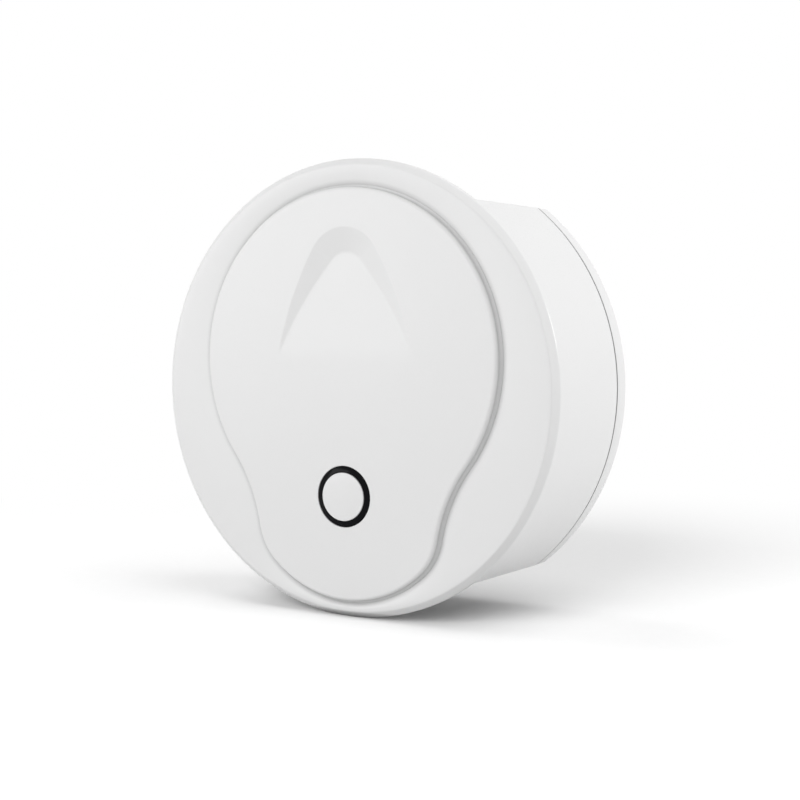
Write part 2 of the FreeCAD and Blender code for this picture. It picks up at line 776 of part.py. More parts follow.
def make_light_ring():
    """Smoked window ring, which rises towards the button, with a flange that the plate holds down."""
    front = f"{PLATE_FACE} - ring_recess"
    return turned_piece(
        "light_ring",
        [
            ("ring_bore", f"{front} + ring_rise"),
            ("ring_radius", front),
            ("ring_radius", PLATE_BACK),
            ("ring_flange", PLATE_BACK),
            ("ring_flange", RING_BACK),
            ("ring_bore", RING_BACK),
        ],
    )


def make_button_cap():
    """Push button: a hollow cap with a retaining flange and a stem on the switch."""
    crown = f"{PLATE_FACE} + cap_proud"
    flange = f"{RING_BACK} - cap_stop_gap"
    outer = "ring_bore - cap_gap"
    body = turned_piece(
        "button_cap",
        [
            ("0", crown),
            (outer, crown),
            (outer, flange),
            ("cap_flange", flange),
            ("cap_flange", f"{flange} - cap_flange_thick"),
            (f"{outer} - cap_skirt", f"{flange} - cap_flange_thick"),
            (f"{outer} - cap_skirt", f"{crown} - cap_top"),
            ("stem_radius", f"{crown} - cap_top"),
            ("stem_radius", f"{PLUNGER_TIP} + press_gap"),
            ("0", f"{PLUNGER_TIP} + press_gap"),
        ],
    )
    soften(body, "cap_softened", "cap_edge", foremost)
    return body


def make_light_guide():
    """Clear tube from the status lights to the ring, with a collar on the front wall."""
    end = f"{BOARD_FRONT} + light_thick + guide_light_gap"
    return turned_piece(
        "light_guide",
        [
            ("guide_bore", RING_BACK),
            ("guide_radius", RING_BACK),
            ("guide_radius", INNER_FACE),
            ("guide_collar", INNER_FACE),
            ("guide_collar", f"{INNER_FACE} - guide_collar_thick"),
            ("guide_radius", f"{INNER_FACE} - guide_collar_thick"),
            ("guide_radius", end),
            ("guide_bore", end),
        ],
    )


def make_switch_body():
    """Square housing of the tact switch, with a well for its plunger."""
    frame = block("switch_frame", "switch_side", "switch_height", "switch_side", "0", BOARD_FRONT, BUTTON_Z)
    level = f"{SWITCH_TOP} - plunger_well"
    well = cylinder("switch_well", "plunger_radius + plunger_gap", "plunger_well", "0", level, BUTTON_Z)
    return cut("switch_body", frame, well)


def make_switch_plunger():
    """Round plunger that the button's stem presses."""
    length = "plunger_inside + plunger_proud"
    level = f"{SWITCH_TOP} - plunger_inside"
    return cylinder("switch_plunger", "plunger_radius", length, "0", level, BUTTON_Z)


def make_switch_legs():
    """Four bent solder legs, from the switch's sides down to the board."""
    legs = []
    level = f"{BOARD_FRONT} + leg_rise"
    for spot, (across, up) in enumerate(((1, 1), (1, -1), (-1, 1), (-1, -1))):
        z = f"{BUTTON_Z} + {up} * leg_pitch / 2"
        arm_x = f"{across} * (switch_side + leg_reach) / 2"
        foot_x = f"{across} * (switch_side / 2 + leg_reach - leg_thick / 2)"
        arm = block(f"leg_arm_{spot}", "leg_reach", "leg_thick", "leg_width", arm_x, level, z)
        foot = block(f"leg_foot_{spot}", "leg_thick", "leg_rise", "leg_width", foot_x, BOARD_FRONT, z)
        legs.append(joined(f"switch_leg_{spot}", [arm, foot]))
    return group("switch_legs", legs)


def make_status_leds():
    """Four light chips on the board, under the guide's end."""
    lights = []
    for spot, (x, z, wide, tall) in enumerate(
        (
            ("light_radius", BUTTON_Z, "light_wide", "light_long"),
            ("-light_radius", BUTTON_Z, "light_wide", "light_long"),
            ("0", f"{BUTTON_Z} + light_radius", "light_long", "light_wide"),
            ("0", f"{BUTTON_Z} - light_radius", "light_long", "light_wide"),
        )
    ):
        lights.append(block(f"status_led_{spot}", wide, "light_thick", tall, x, BOARD_FRONT, z))
    return group("status_leds", lights)


def make_main_board():
    """Board with screw holes and notches round the case's bosses."""
    body = new_body("main_board")
    outline = new_sketch(body, "board_outline", "XZ_Plane", BOARD_REAR)
    flatted_circle(outline, BOARD_RADIUS, BOARD_HALF)
    pad(body, "board_pad", outline, "board_thick")
    holes = new_sketch(body, "board_holes_outline", "XZ_Plane", BOARD_FRONT)
    for x, z in BOARD_SCREWS:
        circle(holes, "board_hole", x, z)
    pocket(body, "board_holes", holes)
    notches = new_sketch(body, "board_notches_outline", "XZ_Plane", BOARD_FRONT)
    for x, z in CASE_SCREWS:
        circle(notches, "case_boss_radius + notch_gap", x, z)
    pocket(body, "board_notches", notches)
    return body


def make_screws(name, places, head_radius, head_thick, shank_radius, length, seat):
    """Alike screws whose heads lie behind a seat and whose shanks run forward."""
    screws = []
    for spot, (x, z) in enumerate(places):
        head = cylinder(f"{name}_head_{spot}", head_radius, head_thick, x, f"{seat} - {head_thick}", z)
        shank = cylinder(f"{name}_shank_{spot}", shank_radius, length, x, seat, z)
        screws.append(joined(f"{name}_{spot}", [head, shank]))
    return group(name, screws)


def make_rear_cover():
    """Shallow cover with a rounded rear edge, the pad's recess and four screw posts."""
    body = new_body("cover_shape")
    outline = new_sketch(body, "cover_outline", "XZ_Plane", REAR)
    flatted_circle(outline, COVER_RADIUS, FLAT_HALF)
    pad(body, "cover_pad", outline, "cover_side")
    soften(body, "cover_softened", "cover_edge", rearmost)
    inside = new_sketch(body, "cover_inside", "XZ_Plane", COVER_EDGE)
    flatted_circle(inside, f"{COVER_RADIUS} - {COVER_WALL}", f"{FLAT_HALF} - {COVER_WALL}")
    pocket(body, "cover_hollow", inside, "cover_side - cover_floor")
    recess = new_sketch(body, "pad_recess_outline", "XZ_Plane", PAD_SEAT)
    flatted_circle(recess, f"{PAD_RADIUS} + pad_gap", f"{PAD_HALF} + pad_gap")
    pocket(body, "pad_recess", recess, "pad_thick")
    solids = [body]
    holes = []
    root = f"{COVER_FLOOR} - post_root"
    for spot, (x, z) in enumerate(CASE_SCREWS):
        solids.append(cylinder(f"post_{spot}", "post_radius", f"{POST_END} - ({root})", x, root, z))
        holes.append(cylinder(f"head_hole_{spot}", "case_screw_head + head_gap", HEAD_SEAT, x, "0", z))
        holes.append(cylinder(f"shank_hole_{spot}", "case_hole", POST_END, x, "0", z))
    return cut("rear_cover", joined("cover_solid", solids), joined("cover_holes", holes))


def make_adhesive_pad():
    """Foam pad that holds the gateway on a wall and covers the screws."""
    body = new_body("adhesive_pad")
    outline = new_sketch(body, "pad_outline", "XZ_Plane")
    flatted_circle(outline, PAD_RADIUS, PAD_HALF)
    pad(body, "pad_pad", outline, "pad_thick")
    return body


def make_usb_shell():
    """Metal shell of the power socket, which opens downward."""
    body = new_body("usb_shell")
    outer = new_sketch(body, "shell_outline", "XY_Plane", MOUTH)
    stadium(outer, "usb_wide", "usb_thick", f"-({SOCKET_LEVEL})")
    pad(body, "shell_pad", outer, "usb_long")
    bore = new_sketch(body, "shell_bore_outline", "XY_Plane", MOUTH)
    stadium(bore, "(usb_wide - 2 * usb_wall)", "(usb_thick - 2 * usb_wall)", f"-({SOCKET_LEVEL})")
    pocket(body, "shell_bore", bore, "usb_long - usb_back", reverse=True)
    return body


def make_usb_tongue():
    """Plastic tongue in the middle of the socket."""
    tall = "usb_long - usb_back - tab_short"
    z = f"{MOUTH} + tab_short + ({tall}) / 2"
    return block("usb_tongue", "tab_wide", "tab_thick", tall, "0", f"{SOCKET_LEVEL} - tab_thick / 2", z)


def make_usb_contacts():
    """Contact strips on both faces of the tongue."""
    strips = []
    z = f"{MOUTH} + tab_short + contact_pitch + contact_long / 2"
    levels = (f"{SOCKET_LEVEL} + tab_thick / 2", f"{SOCKET_LEVEL} - tab_thick / 2 - contact_thick")
    for face, level in enumerate(levels):
        for step in range(CONTACTS_PER_SIDE):
            x = f"{step - (CONTACTS_PER_SIDE - 1) / 2} * contact_pitch"
            name = f"usb_contact_{face}_{step}"
            strips.append(block(name, "contact_wide", "contact_thick", "contact_long", x, level, z))
    return group("usb_contacts", strips)


def on_board(name, wide, thick, tall, x, z, under="0"):
    """A box on the board's rear side, on what lies under it."""
    return block(name, wide, thick, tall, x, f"{BOARD_REAR} - ({under}) - {thick}", z)


def rounded_can(name, wide, thick, tall, x, z, under, corner):
    """A box on the board's rear side, with its upright corners rounded."""
    body = new_body(name)
    outline = new_sketch(body, f"{name}_outline", "XZ_Plane", f"{BOARD_REAR} - ({under}) - {thick}")
    rectangle(outline, f"{x} - {wide} / 2", f"{x} + {wide} / 2", f"{z} - {tall} / 2", f"{z} + {tall} / 2")
    pad(body, f"{name}_pad", outline, thick)

    def upright(edge, whole):
        """Whether an edge runs along the case's axis."""
        return edge.BoundBox.XLength < TINY and edge.BoundBox.ZLength < TINY

    soften(body, f"{name}_softened", corner, upright)
    return body


def radio_module(kind, x, low):
    """A radio's board, with its shielding can near the board's lower end."""
    middle = f"{low} + {kind}_tall / 2"
    board = on_board(f"{kind}_board", f"{kind}_wide", "module_thick", f"{kind}_tall", x, middle)
    sizes = [f"{kind}_can_{way}" for way in ("wide", "thick", "tall")]
    middle = f"({low} + can_inset + {kind}_can_tall / 2)"
    can = rounded_can(f"{kind}_shield", *sizes, x, middle, "module_thick", "can_corner")
    return [board, can]


def make_radios():
    """The home network's radio, and the sensors' radio with its aerial."""
    wifi = radio_module("wifi", "(wifi_left + wifi_wide / 2)", WIFI_LOW)
    x = f"({MESH_RIGHT} - mesh_wide / 2)"
    mesh = radio_module("mesh", x, "mesh_low")
    z = "mesh_low + mesh_tall - antenna_edge - antenna_wide / 2"
    sizes = [f"antenna_{way}" for way in ("long", "thick", "wide")]
    return [*wifi, *mesh, on_board("mesh_antenna", *sizes, x, z, "module_thick")]


def make_power_coil():
    """Square shielded coil with rounded corners."""
    return rounded_can(
        "power_coil", "coil_side", "coil_thick", "coil_side", "coil_x", "-coil_drop", "0", "coil_corner"
    )


def make_chips():
    """Regulator and memory, both eight-lead chips, and their leads."""
    places = {
        "regulator_chip": ("regulator_x", "-regulator_drop"),
        "memory_chip": ("memory_x", "-memory_drop"),
    }
    chips = []
    leads = []
    for name, (x, z) in places.items():
        chips.append(on_board(name, "regulator_wide", "regulator_thick", "regulator_long", x, z))
        for step in range(LEADS_PER_SIDE):
            lead_z = f"{z} + {step - (LEADS_PER_SIDE - 1) / 2} * lead_pitch"
            for way in (1, -1):
                lead_x = f"{x} + {way} * (regulator_wide + lead_reach) / 2"
                label = f"{name}_lead_{step}_{'right' if way > 0 else 'left'}"
                leads.append(on_board(label, "lead_reach", "lead_thick", "lead_width", lead_x, lead_z))
    return chips + [group("chip_leads", leads)]


def make_capacitors():
    """Two can capacitors and their square bases."""
    bases = []
    cans = []
    for spot in range(2):
        x = f"can_x + {spot} * can_pitch - can_pitch / 2"
        side = "can_base_side"
        bases.append(on_board(f"capacitor_base_{spot}", side, "can_base_thick", side, x, "-can_drop"))
        level = f"{BOARD_REAR} - can_base_thick - can_tall"
        cans.append(cylinder(f"capacitor_{spot}", "can_radius", "can_tall", x, level, "-can_drop"))
    return [group("capacitor_bases", bases), group("bulk_capacitors", cans)]


def make_crystal():
    """Metal-lidded timing crystal."""
    return on_board("crystal", "crystal_long", "crystal_thick", "crystal_wide", "crystal_x", "-crystal_drop")


def make_small_chips():
    """Rows of small capacitors and resistors."""
    chips = []
    for step in range(CHIPS_PER_ROW):
        for line in range(2):
            x = f"chip_row_left + {line} * 2 * chip_pitch"
            z = f"-chip_row_drop + {step} * chip_pitch"
            chips.append(on_board(f"small_chip_{line}_{step}", "chip_long", "chip_thick", "chip_wide", x, z))
    return group("small_chips", chips)


parts = [
    make_front_housing(),
    make_face_plate(),
    make_light_ring(),
    make_button_cap(),
    make_light_guide(),
    make_switch_body(),
    make_switch_plunger(),
    make_switch_legs(),
    make_status_leds(),
    make_main_board(),
    make_screws(
        "board_screws",
        BOARD_SCREWS,
        "board_screw_head",
        "board_screw_head_thick",
        "board_screw_radius",
        "board_screw_length",
        BOARD_REAR,
    ),
    make_rear_cover(),
    make_screws(
        "case_screws",
        CASE_SCREWS,
        "case_screw_head",
        "case_screw_head_thick",
        "case_screw_radius",
        "case_screw_length",
        HEAD_SEAT,
    ),
    make_adhesive_pad(),
    make_usb_shell(),
    make_usb_tongue(),
    make_usb_contacts(),
    *make_radios(),
    make_power_coil(),
    *make_chips(),
    *make_capacitors(),
    make_crystal(),
    make_small_chips(),
]
doc.recompute()

# Checks, then one file for each piece
for thing in doc.Objects:
    if "Invalid" in thing.State or "Error" in thing.State:
        raise RuntimeError(f"{thing.Name} failed: {thing.State}")
for piece in parts:
    if piece.Shape.isNull() or not piece.Shape.isValid() or not piece.Shape.Solids:
        raise RuntimeError(f"{piece.Name} has no valid solid")
os.makedirs("parts", exist_ok=True)
for piece in parts:
    piece.Label = piece.Name
    piece.Shape.exportStep(f"parts/{piece.Label}.step")
    print(f"{piece.Label}: {len(piece.Shape.Solids)} solid(s), {piece.Shape.Volume:.2f} mm3")
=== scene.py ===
import json
import math

import bmesh
import bpy
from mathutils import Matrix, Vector
from mathutils.geometry import delaunay_2d_cdt


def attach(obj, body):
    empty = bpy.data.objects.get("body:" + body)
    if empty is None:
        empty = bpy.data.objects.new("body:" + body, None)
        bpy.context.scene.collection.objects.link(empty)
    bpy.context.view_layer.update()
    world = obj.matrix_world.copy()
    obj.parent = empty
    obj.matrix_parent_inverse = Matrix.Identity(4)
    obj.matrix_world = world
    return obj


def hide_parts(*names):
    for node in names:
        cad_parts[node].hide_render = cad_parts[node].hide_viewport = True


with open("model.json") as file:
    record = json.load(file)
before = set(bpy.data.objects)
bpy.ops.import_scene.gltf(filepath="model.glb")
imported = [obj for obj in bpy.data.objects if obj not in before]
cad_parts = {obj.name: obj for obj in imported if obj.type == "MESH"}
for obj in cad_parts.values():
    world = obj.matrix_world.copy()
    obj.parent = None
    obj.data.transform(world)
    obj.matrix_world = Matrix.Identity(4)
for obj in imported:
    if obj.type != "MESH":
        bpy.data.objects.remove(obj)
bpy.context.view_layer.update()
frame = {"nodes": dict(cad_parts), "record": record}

# Sizes in millimetres. A level is a distance forward of the wall, so a point's y is minus its level.
MM = 0.001

# Case
REAR = 0.4
COVER_EDGE = 4.46
HOUSING_EDGE = 4.9
LIP = 22.9
RIM_FRONT = 24.65
INNER_FACE = 21.5
PLATE_BACK = 23.3
PLATE_FACE = 25.5
FLAT = 28.0
WALL = 2.2
RIM_RADIUS = 35.0
RIM_BEVEL = 0.95
RIM_SOFT = 0.5
SEAM_RADIUS = 35.97
CORNER_SOFT = 0.6
EDGE_SOFT = 0.08
LIP_SINK = 0.016
LIP_SHARES = (0.3, 1.0)
DISH_DROP = 0.3
DISH_CURVE = 1.5
WEB_RADIUS = 20.0
TONGUE_THICK = 0.9
TONGUE_LENGTH = 1.2

# Rear cover and pad
COVER_RADIUS = 35.95
COVER_FLOOR = 2.0
COVER_ROUND = 1.2
COVER_WALL = 1.2
PAD_THICK = 1.0
PAD_RADIUS = 32.3
PAD_HALF = 24.6
PAD_GAP = 0.2
PAD_SOFT = 0.12

# Pear-shaped plate
CROWN_Z = 4.68
CROWN_RADIUS = 25.92
WAIST_RADIUS = 26.09
FOOT_X = 6.95
FOOT_Z = -20.39
FOOT_RADIUS = 9.19
PEAR_BOTTOM = -32.29
PLATE_EDGE = 0.55
PLATE_FOOT = 0.45
GROOVE_GAP = 0.46
GROOVE_SOFT = 0.02
GROOVE_LEVEL = 24.35

# Arch scoop
ARCH_TOP = 24.67
ARCH_NOSE = 6.465
ARCH_SIDE = 53.12
ARCH_SIDE_X = 39.9
ARCH_SIDE_Z = -5.98
ARCH_FADE_Z = 5.3
ARCH_INNER_TOP = 20.87
ARCH_DEPTH = 0.8
ARCH_SOFT = 0.03
ARCH_NOSE_Z = ARCH_TOP - ARCH_NOSE
ARCH_SLOPE = ARCH_DEPTH / (ARCH_TOP - ARCH_INNER_TOP)
ARCH_SWEEP = 0.36

# Button, ring and power socket
BUTTON_Z = -16.3
RING_RADIUS = 4.65
RING_BORE = 3.76
RING_OUTER_LEVEL = 25.36
RING_INNER_LEVEL = 25.66
RING_FLANGE = 5.6
RING_BACK = 22.5
RING_GAP = 0.05
RING_SOFT = 0.08
HOLE_SOFT = 0.1
CAP_RADIUS = 3.70
CAP_LEVEL = 25.8
CAP_SOFT = 0.12
CAP_FLANGE = 4.3
CAP_FLANGE_LEVEL = 22.45
CAP_FLANGE_BACK = 21.65
CAP_BORE = 2.8
CAP_TOP_BACK = 24.6
STEM_RADIUS = 1.5
STEM_LEVEL = 20.05
SOCKET_LEVEL = 12.82
SOCKET_WIDE = 8.94
SOCKET_THICK = 3.16
SOCKET_LONG = 7.35
SOCKET_WALL = 0.3
SOCKET_BACK = 1.0
SOCKET_MOUTH = -27.1
SOCKET_GAP = 0.2
RECESS_WIDE = 12.8
RECESS_THICK = 7.0
RECESS_DEEP = 0.8
TAB_WIDE = 6.69
TAB_THICK = 0.7
TAB_SHORT = 1.0
TAB_SOFT = 0.15

# Mesh resolution: steps along lines and arcs
ARC_STEPS = 96
CORNER_STEPS = 6
FLAT_STEPS = 40
ROUND_STEPS = 6
EDGE_STEPS = 3
SOFT_STEPS = 4
FOLD_STEPS = 8
SIDE_STEPS = 8
DISH_STEPS = 16
WALL_STEPS = 10
PEAR_STEPS = 480
TURN_STEPS = 144
CREASE_STEPS = 60
HALVINGS = 40

# Mesh resolution: the face's vertices, in millimetres
ARCH_INSETS = (-0.25, -0.12, 0.0, 0.12, 0.25, 0.5, 0.9, 1.4, 2.0, 2.7, 3.4)
ARCH_SPACING = 0.35
CREASE_SHIFTS = (-0.3, -0.15, 0.0, 0.15, 0.3)
CREASE_LOW = 0.05
CREASE_HIGH = 0.02
CREASE_REACH = 14.0
GRID_REACH = 30
GRID_STAGGER = 0.37
FACE_MARGIN = 0.3
FACE_GAP = 0.1
JOIN_REACH = 1e-5
HAIR = 1e-6
SHARP_ANGLE = 40.0

# Photograph's camera, in metres and millimetres of lens
CAMERA_EYE = (0.11141, -0.19761, 0.01015)
CAMERA_AIM = (-0.50692, 0.86012, -0.05695)
CAMERA_LENS = 60.83
CAMERA_SENSOR = 36.0

# Surfaces
CLOUD_SCALE = 35.0
GRAIN_DEPTH = 0.00005
CELL_SCALE = 3500.0
CELL_DEPTH = 0.0001
TRACK_SCALE = 300.0
FLOW_SCALE = 400.0
PAPER_SCALE = 900.0

# Stage, in metres
FLOOR_Z = -0.03505
FLOOR_REACH = 4.0
FLOOR_COLOUR = 0.9
FLOOR_BOUNCE = 0.58
FLOOR_NEAR = 0.06
FLOOR_FAR = 0.16
AMBIENT = 0.43
LAMP_REACH = 1.0

# Lamps: name, bearing and height in degrees, size in metres, power in watts
PIECE_LAMPS = (
    ("key", -40, 8, 0.5, 3.0),
    ("high", -20, 45, 0.5, 1.8),
    ("right", 40, 15, 0.5, 1.4),
    ("side", 110, 20, 0.2, 4.6),
    ("top", 180, 70, 0.3, 1.1),
)
FLOOR_LAMPS = (
    ("floor_front", 0, 25, 0.6, 7.9),
    ("floor_right", 90, 60, 1.0, 4.2),
    ("floor_left", -90, 60, 0.6, 2.1),
)


# Outlines, as points (x, z) seen from the front


def pear_arcs(grow):
    """The right half of the plate's outline, from its bottom: where each arc ends, then its circle."""
    crown = Vector((0.0, CROWN_Z))
    foot = Vector((FOOT_X, FOOT_Z))
    depth = FOOT_Z - PEAR_BOTTOM
    bottom_radius = (FOOT_X**2 + depth**2 - FOOT_RADIUS**2) / (2 * (depth - FOOT_RADIUS))
    bottom = Vector((0.0, PEAR_BOTTOM + bottom_radius))
    line = foot - crown
    near = CROWN_RADIUS + WAIST_RADIUS
    far = FOOT_RADIUS + WAIST_RADIUS
    along = (near**2 - far**2 + line.length**2) / (2 * line.length)
    aside = math.sqrt(near**2 - along**2)
    way = line.normalized()
    waist = crown + way * along + Vector((-way.y, way.x)) * aside
    ends = (
        bottom + (foot - bottom).normalized() * (bottom_radius + grow),
        foot + (waist - foot).normalized() * (FOOT_RADIUS + grow),
        crown + (waist - crown).normalized() * (CROWN_RADIUS + grow),
        Vector((0.0, CROWN_Z + CROWN_RADIUS + grow)),
    )
    bearings = [math.atan2(end.y, end.x) for end in ends]
    # Centre, radius, and whether the arc bulges outward (1) or inward (-1)
    circles = (
        (bottom, bottom_radius + grow, 1),
        (foot, FOOT_RADIUS + grow, 1),
        (waist, WAIST_RADIUS - grow, -1),
        (crown, CROWN_RADIUS + grow, 1),
    )
    return list(zip(bearings, circles))


def pear(bearings, grow=0.0):
    """Points of the plate's outline, set outward by grow, at the given bearings from the centre."""
    arcs = pear_arcs(grow)
    points = []
    for bearing in bearings:
        way = Vector((math.cos(bearing), math.sin(bearing)))
        mirrored = Vector((abs(way.x), way.y))
        turn = math.atan2(mirrored.y, mirrored.x)
        centre, radius, bulge = next((arc for end, arc in arcs if turn <= end + HAIR), arcs[-1][1])
        middle = mirrored.dot(centre)
        reach = middle + bulge * math.sqrt(middle**2 - centre.length_squared + radius**2)
        points.append((way.x * reach, way.y * reach))
    return points


def circle(bearings, radius, z=0.0):
    """Points of a circle at the given bearings from its centre."""
    return [(radius * math.cos(turn), z + radius * math.sin(turn)) for turn in bearings]


def polar(radii, bearings):
    """Points with a radius of their own on each bearing."""
    return [(radius * math.cos(turn), radius * math.sin(turn)) for radius, turn in zip(radii, bearings)]


def spread(start, end, steps, last=False):
    """Even values from start to end, with or without the last one."""
    count = steps + 1 if last else steps
    return [start + (end - start) * step / steps for step in range(count)]


def quarter_round(steps):
    """Pairs that take a quarter round from (1, 0) to (0, 1): what is left across, what is done along."""
    turns = spread(0.0, math.pi / 2, steps, last=True)
    return [(1 - math.sin(turn), 1 - math.cos(turn)) for turn in turns]


def flatted(radius, half, corner):
    """Points of a circle cut flat at the top and bottom, with its four corners rounded."""
    centre_z = half - corner
    centre_x = math.sqrt((radius - corner) ** 2 - centre_z**2)
    meet = math.atan2(centre_z, centre_x)
    quarter = circle(spread(0.0, meet, ARC_STEPS // 2), radius)
    quarter += [
        (centre_x + corner * math.cos(turn), centre_z + corner * math.sin(turn))
        for turn in spread(meet, math.pi / 2, CORNER_STEPS)
    ]
    quarter += [(x, half) for x in spread(centre_x, 0.0, FLAT_STEPS // 2, last=True)]
    left = [(-x, z) for x, z in reversed(quarter[:-1])]
    upper = quarter + left
    lower = [(x, -z) for x, z in reversed(upper[1:-1])]
    return upper + lower


def stadium(bearings, wide, thick):
    """Points of a slot with round ends at the given bearings from its centre."""
    radius = thick / 2
    shift = wide / 2 - radius
    points = []
    for turn in bearings:
        way = Vector((abs(math.cos(turn)), abs(math.sin(turn))))
        reach = radius / max(way.y, HAIR)
        if way.x * reach > shift:
            reach = way.x * shift + math.sqrt((way.x * shift) ** 2 - shift**2 + radius**2)
        points.append((reach * math.cos(turn), reach * math.sin(turn)))
    return points


def rounded(corners, steps=ROUND_STEPS):
    """A line through corners (u, v, radius), with an arc in place of each that has a radius."""
    points = []
    for spot, (u, v, radius) in enumerate(corners):
        here = Vector((u, v))
        if not radius:
            points.append((u, v))
            continue
        before = (Vector(corners[spot - 1][:2]) - here).normalized()
        after = (Vector(corners[(spot + 1) % len(corners)][:2]) - here).normalized()
        half = before.angle(after) / 2
        centre = here + (before + after).normalized() * radius / math.sin(half)
        start = here + before * radius / math.tan(half) - centre
        end = here + after * radius / math.tan(half) - centre
        sweep = math.pi - 2 * half
        for step in range(steps + 1):
            share = step / steps
            mixed = (start * math.sin((1 - share) * sweep) + end * math.sin(share * sweep)) / math.sin(sweep)
            points.append(tuple(centre + mixed))
    return points


# Meshes


def ring(bm, outline, level):
    """One closed row of vertices that follows an outline at a level."""
    return [bm.verts.new((x * MM, -level * MM, z * MM)) for x, z in outline]


def flatted_rows(bm, radius, half, profile):
    """Rows that follow a circle with two flats, from pairs of outward growth and level."""
    return [ring(bm, flatted(radius + grow, half + grow, CORNER_SOFT), level) for grow, level in profile]


def skin(bm, rows, skip=None):
    """Faces between each row of vertices and the next, apart from the places that skip names."""
    for spot, (row, after) in enumerate(zip(rows, rows[1:])):
        count = len(row)
        for step in range(count):
            if skip and skip(spot, step):
                continue
            beside = (step + 1) % count
            bm.faces.new((row[step], row[beside], after[beside], after[step]))


def capped(bm, rows):
    """Faces between rows of vertices, and one face over each end."""
    skin(bm, rows)
    bm.faces.new(rows[0])
    bm.faces.new(rows[-1])


def loop_edges(row):
    """The edges along a closed row of vertices."""
    pairs = zip(row, row[1:] + row[:1])
    return [edge for one, other in pairs for edge in one.link_edges if edge.other_vert(one) is other]


def finish_mesh(bm, name, body, slot, replaced):
    """Turns a bmesh into a piece that rides on a body and stands for CAD nodes."""
    bmesh.ops.recalc_face_normals(bm, faces=bm.faces)
    mesh = bpy.data.meshes.new(name)
    bm.to_mesh(mesh)
    bm.free()
    mesh.shade_smooth()
    mesh.set_sharp_from_angle(angle=math.radians(SHARP_ANGLE))
    piece = bpy.data.objects.new(name, mesh)
    bpy.context.scene.collection.objects.link(piece)
    piece.data.materials.append(MATERIALS[slot])
    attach(piece, body)
    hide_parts(*replaced)
    return piece


# Materials


def new_material(name="plain"):
    """A node material, its tree and its shader."""
    material = bpy.data.materials.new(name)
    material.use_nodes = True
    return material, material.node_tree, material.node_tree.nodes["Principled BSDF"]


def add_node(tree, kind, inputs=None, **settings):
    """A node with its settings, whose inputs are given values or joined to other nodes."""
    node = tree.nodes.new(kind)
    for key, value in settings.items():
        setattr(node, key, value)
    for key, value in (inputs or {}).items():
        if isinstance(value, bpy.types.NodeSocket):
            tree.links.new(value, node.inputs[key])
        else:
            node.inputs[key].default_value = value
    return node


def own_place(tree):
    """The piece's own coordinates."""
    return add_node(tree, "ShaderNodeTexCoord").outputs["Object"]


def noise(tree, scale, detail):
    """Cloudy noise over the piece's own coordinates."""
    inputs = {"Vector": own_place(tree), "Scale": scale, "Detail": detail}
    return add_node(tree, "ShaderNodeTexNoise", inputs).outputs["Fac"]


def ramp(tree, source, stops):
    """A colour ramp over stops of (place, colour)."""
    node = add_node(tree, "ShaderNodeValToRGB", {"Fac": source})
    elements = node.color_ramp.elements
    while len(elements) < len(stops):
        elements.new(0.5)
    for element, (place, colour) in zip(elements, stops):
        element.position = place
        element.color = (*colour, 1.0)
    return node.outputs["Color"]


def remap(tree, value, low, high, between=(0.0, 1.0), **settings):
    """The value, moved from the range between two ends to the one from low to high."""
    inputs = {"Value": value, "From Min": between[0], "From Max": between[1], "To Min": low, "To Max": high}
    return add_node(tree, "ShaderNodeMapRange", inputs, **settings).outputs["Result"]


def scaled(tree, colour, share):
    """The colour times a share."""
    inputs = {0: colour, "Scale": share}
    return add_node(tree, "ShaderNodeVectorMath", inputs, operation="SCALE").outputs["Vector"]


def painted_crevice_shade(tree, colour, reach, depth):
    """The colour, darker where other surfaces crowd round within the reach: shade painted into the colour in
    crevices, seams and hollows.
    """
    room = add_node(tree, "ShaderNodeAmbientOcclusion", {"Distance": reach}, samples=8).outputs["AO"]
    return scaled(tree, colour, remap(tree, room, 1 - depth, 1.0))


def add_relief(tree, shader, height, strength, distance):
    """Roughens the surface by a height."""
    inputs = {"Height": height, "Strength": strength, "Distance": distance}
    tree.links.new(add_node(tree, "ShaderNodeBump", inputs).outputs["Normal"], shader.inputs["Normal"])


def moulded(colour, shade, rough, grain, bump, specular=0.5, metal=0.0, crevice_shade=None):
    """Moulded plastic or metal: a faint random cloud of tone, fine grain and uneven gloss. With the crevice
    shade values, shade is also painted into the colour in crevices, seams and hollows.
    """
    material, tree, shader = new_material()
    cloud = noise(tree, CLOUD_SCALE, 3.0)
    speck = noise(tree, grain, 2.0)
    low = tuple(value * (1 - shade) for value in colour)
    high = tuple(min(1.0, value * (1 + shade)) for value in colour)
    tint = ramp(tree, cloud, [(0.35, low), (0.65, high)])
    # Painted shade: the colour is darkened by ambient occlusion in crevices, seams and hollows.
    if crevice_shade:
        tint = painted_crevice_shade(tree, tint, *crevice_shade)
    tree.links.new(tint, shader.inputs["Base Color"])
    gloss = remap(tree, speck, rough * 0.9, rough * 1.1, between=(0.3, 0.7))
    tree.links.new(gloss, shader.inputs["Roughness"])
    add_relief(tree, shader, speck, bump, GRAIN_DEPTH)
    shader.inputs["Specular IOR Level"].default_value = specular
    shader.inputs["Metallic"].default_value = metal
    return material


def clear(colour, rough):
    """Clear plastic with faint flow lines."""
    material, tree, shader = new_material()
    flow = noise(tree, FLOW_SCALE, 2.0)
    tint = ramp(tree, flow, [(0.3, tuple(value * 0.97 for value in colour)), (0.7, colour)])
    tree.links.new(tint, shader.inputs["Base Color"])
    tree.links.new(remap(tree, flow, rough, rough * 2), shader.inputs["Roughness"])
    shader.inputs["Transmission Weight"].default_value = 1.0
    return material


def foam(colour):
    """Closed-cell foam: small round cells with paler walls."""
    material, tree, shader = new_material()
    inputs = {"Vector": own_place(tree), "Scale": CELL_SCALE}
    cells = add_node(tree, "ShaderNodeTexVoronoi", inputs).outputs["Distance"]
    dark = tuple(value * 0.82 for value in colour)
    tree.links.new(ramp(tree, cells, [(0.1, dark), (0.6, colour)]), shader.inputs["Base Color"])
    add_relief(tree, shader, cells, 0.5, CELL_DEPTH)
    shader.inputs["Roughness"].default_value = 0.9
    return material


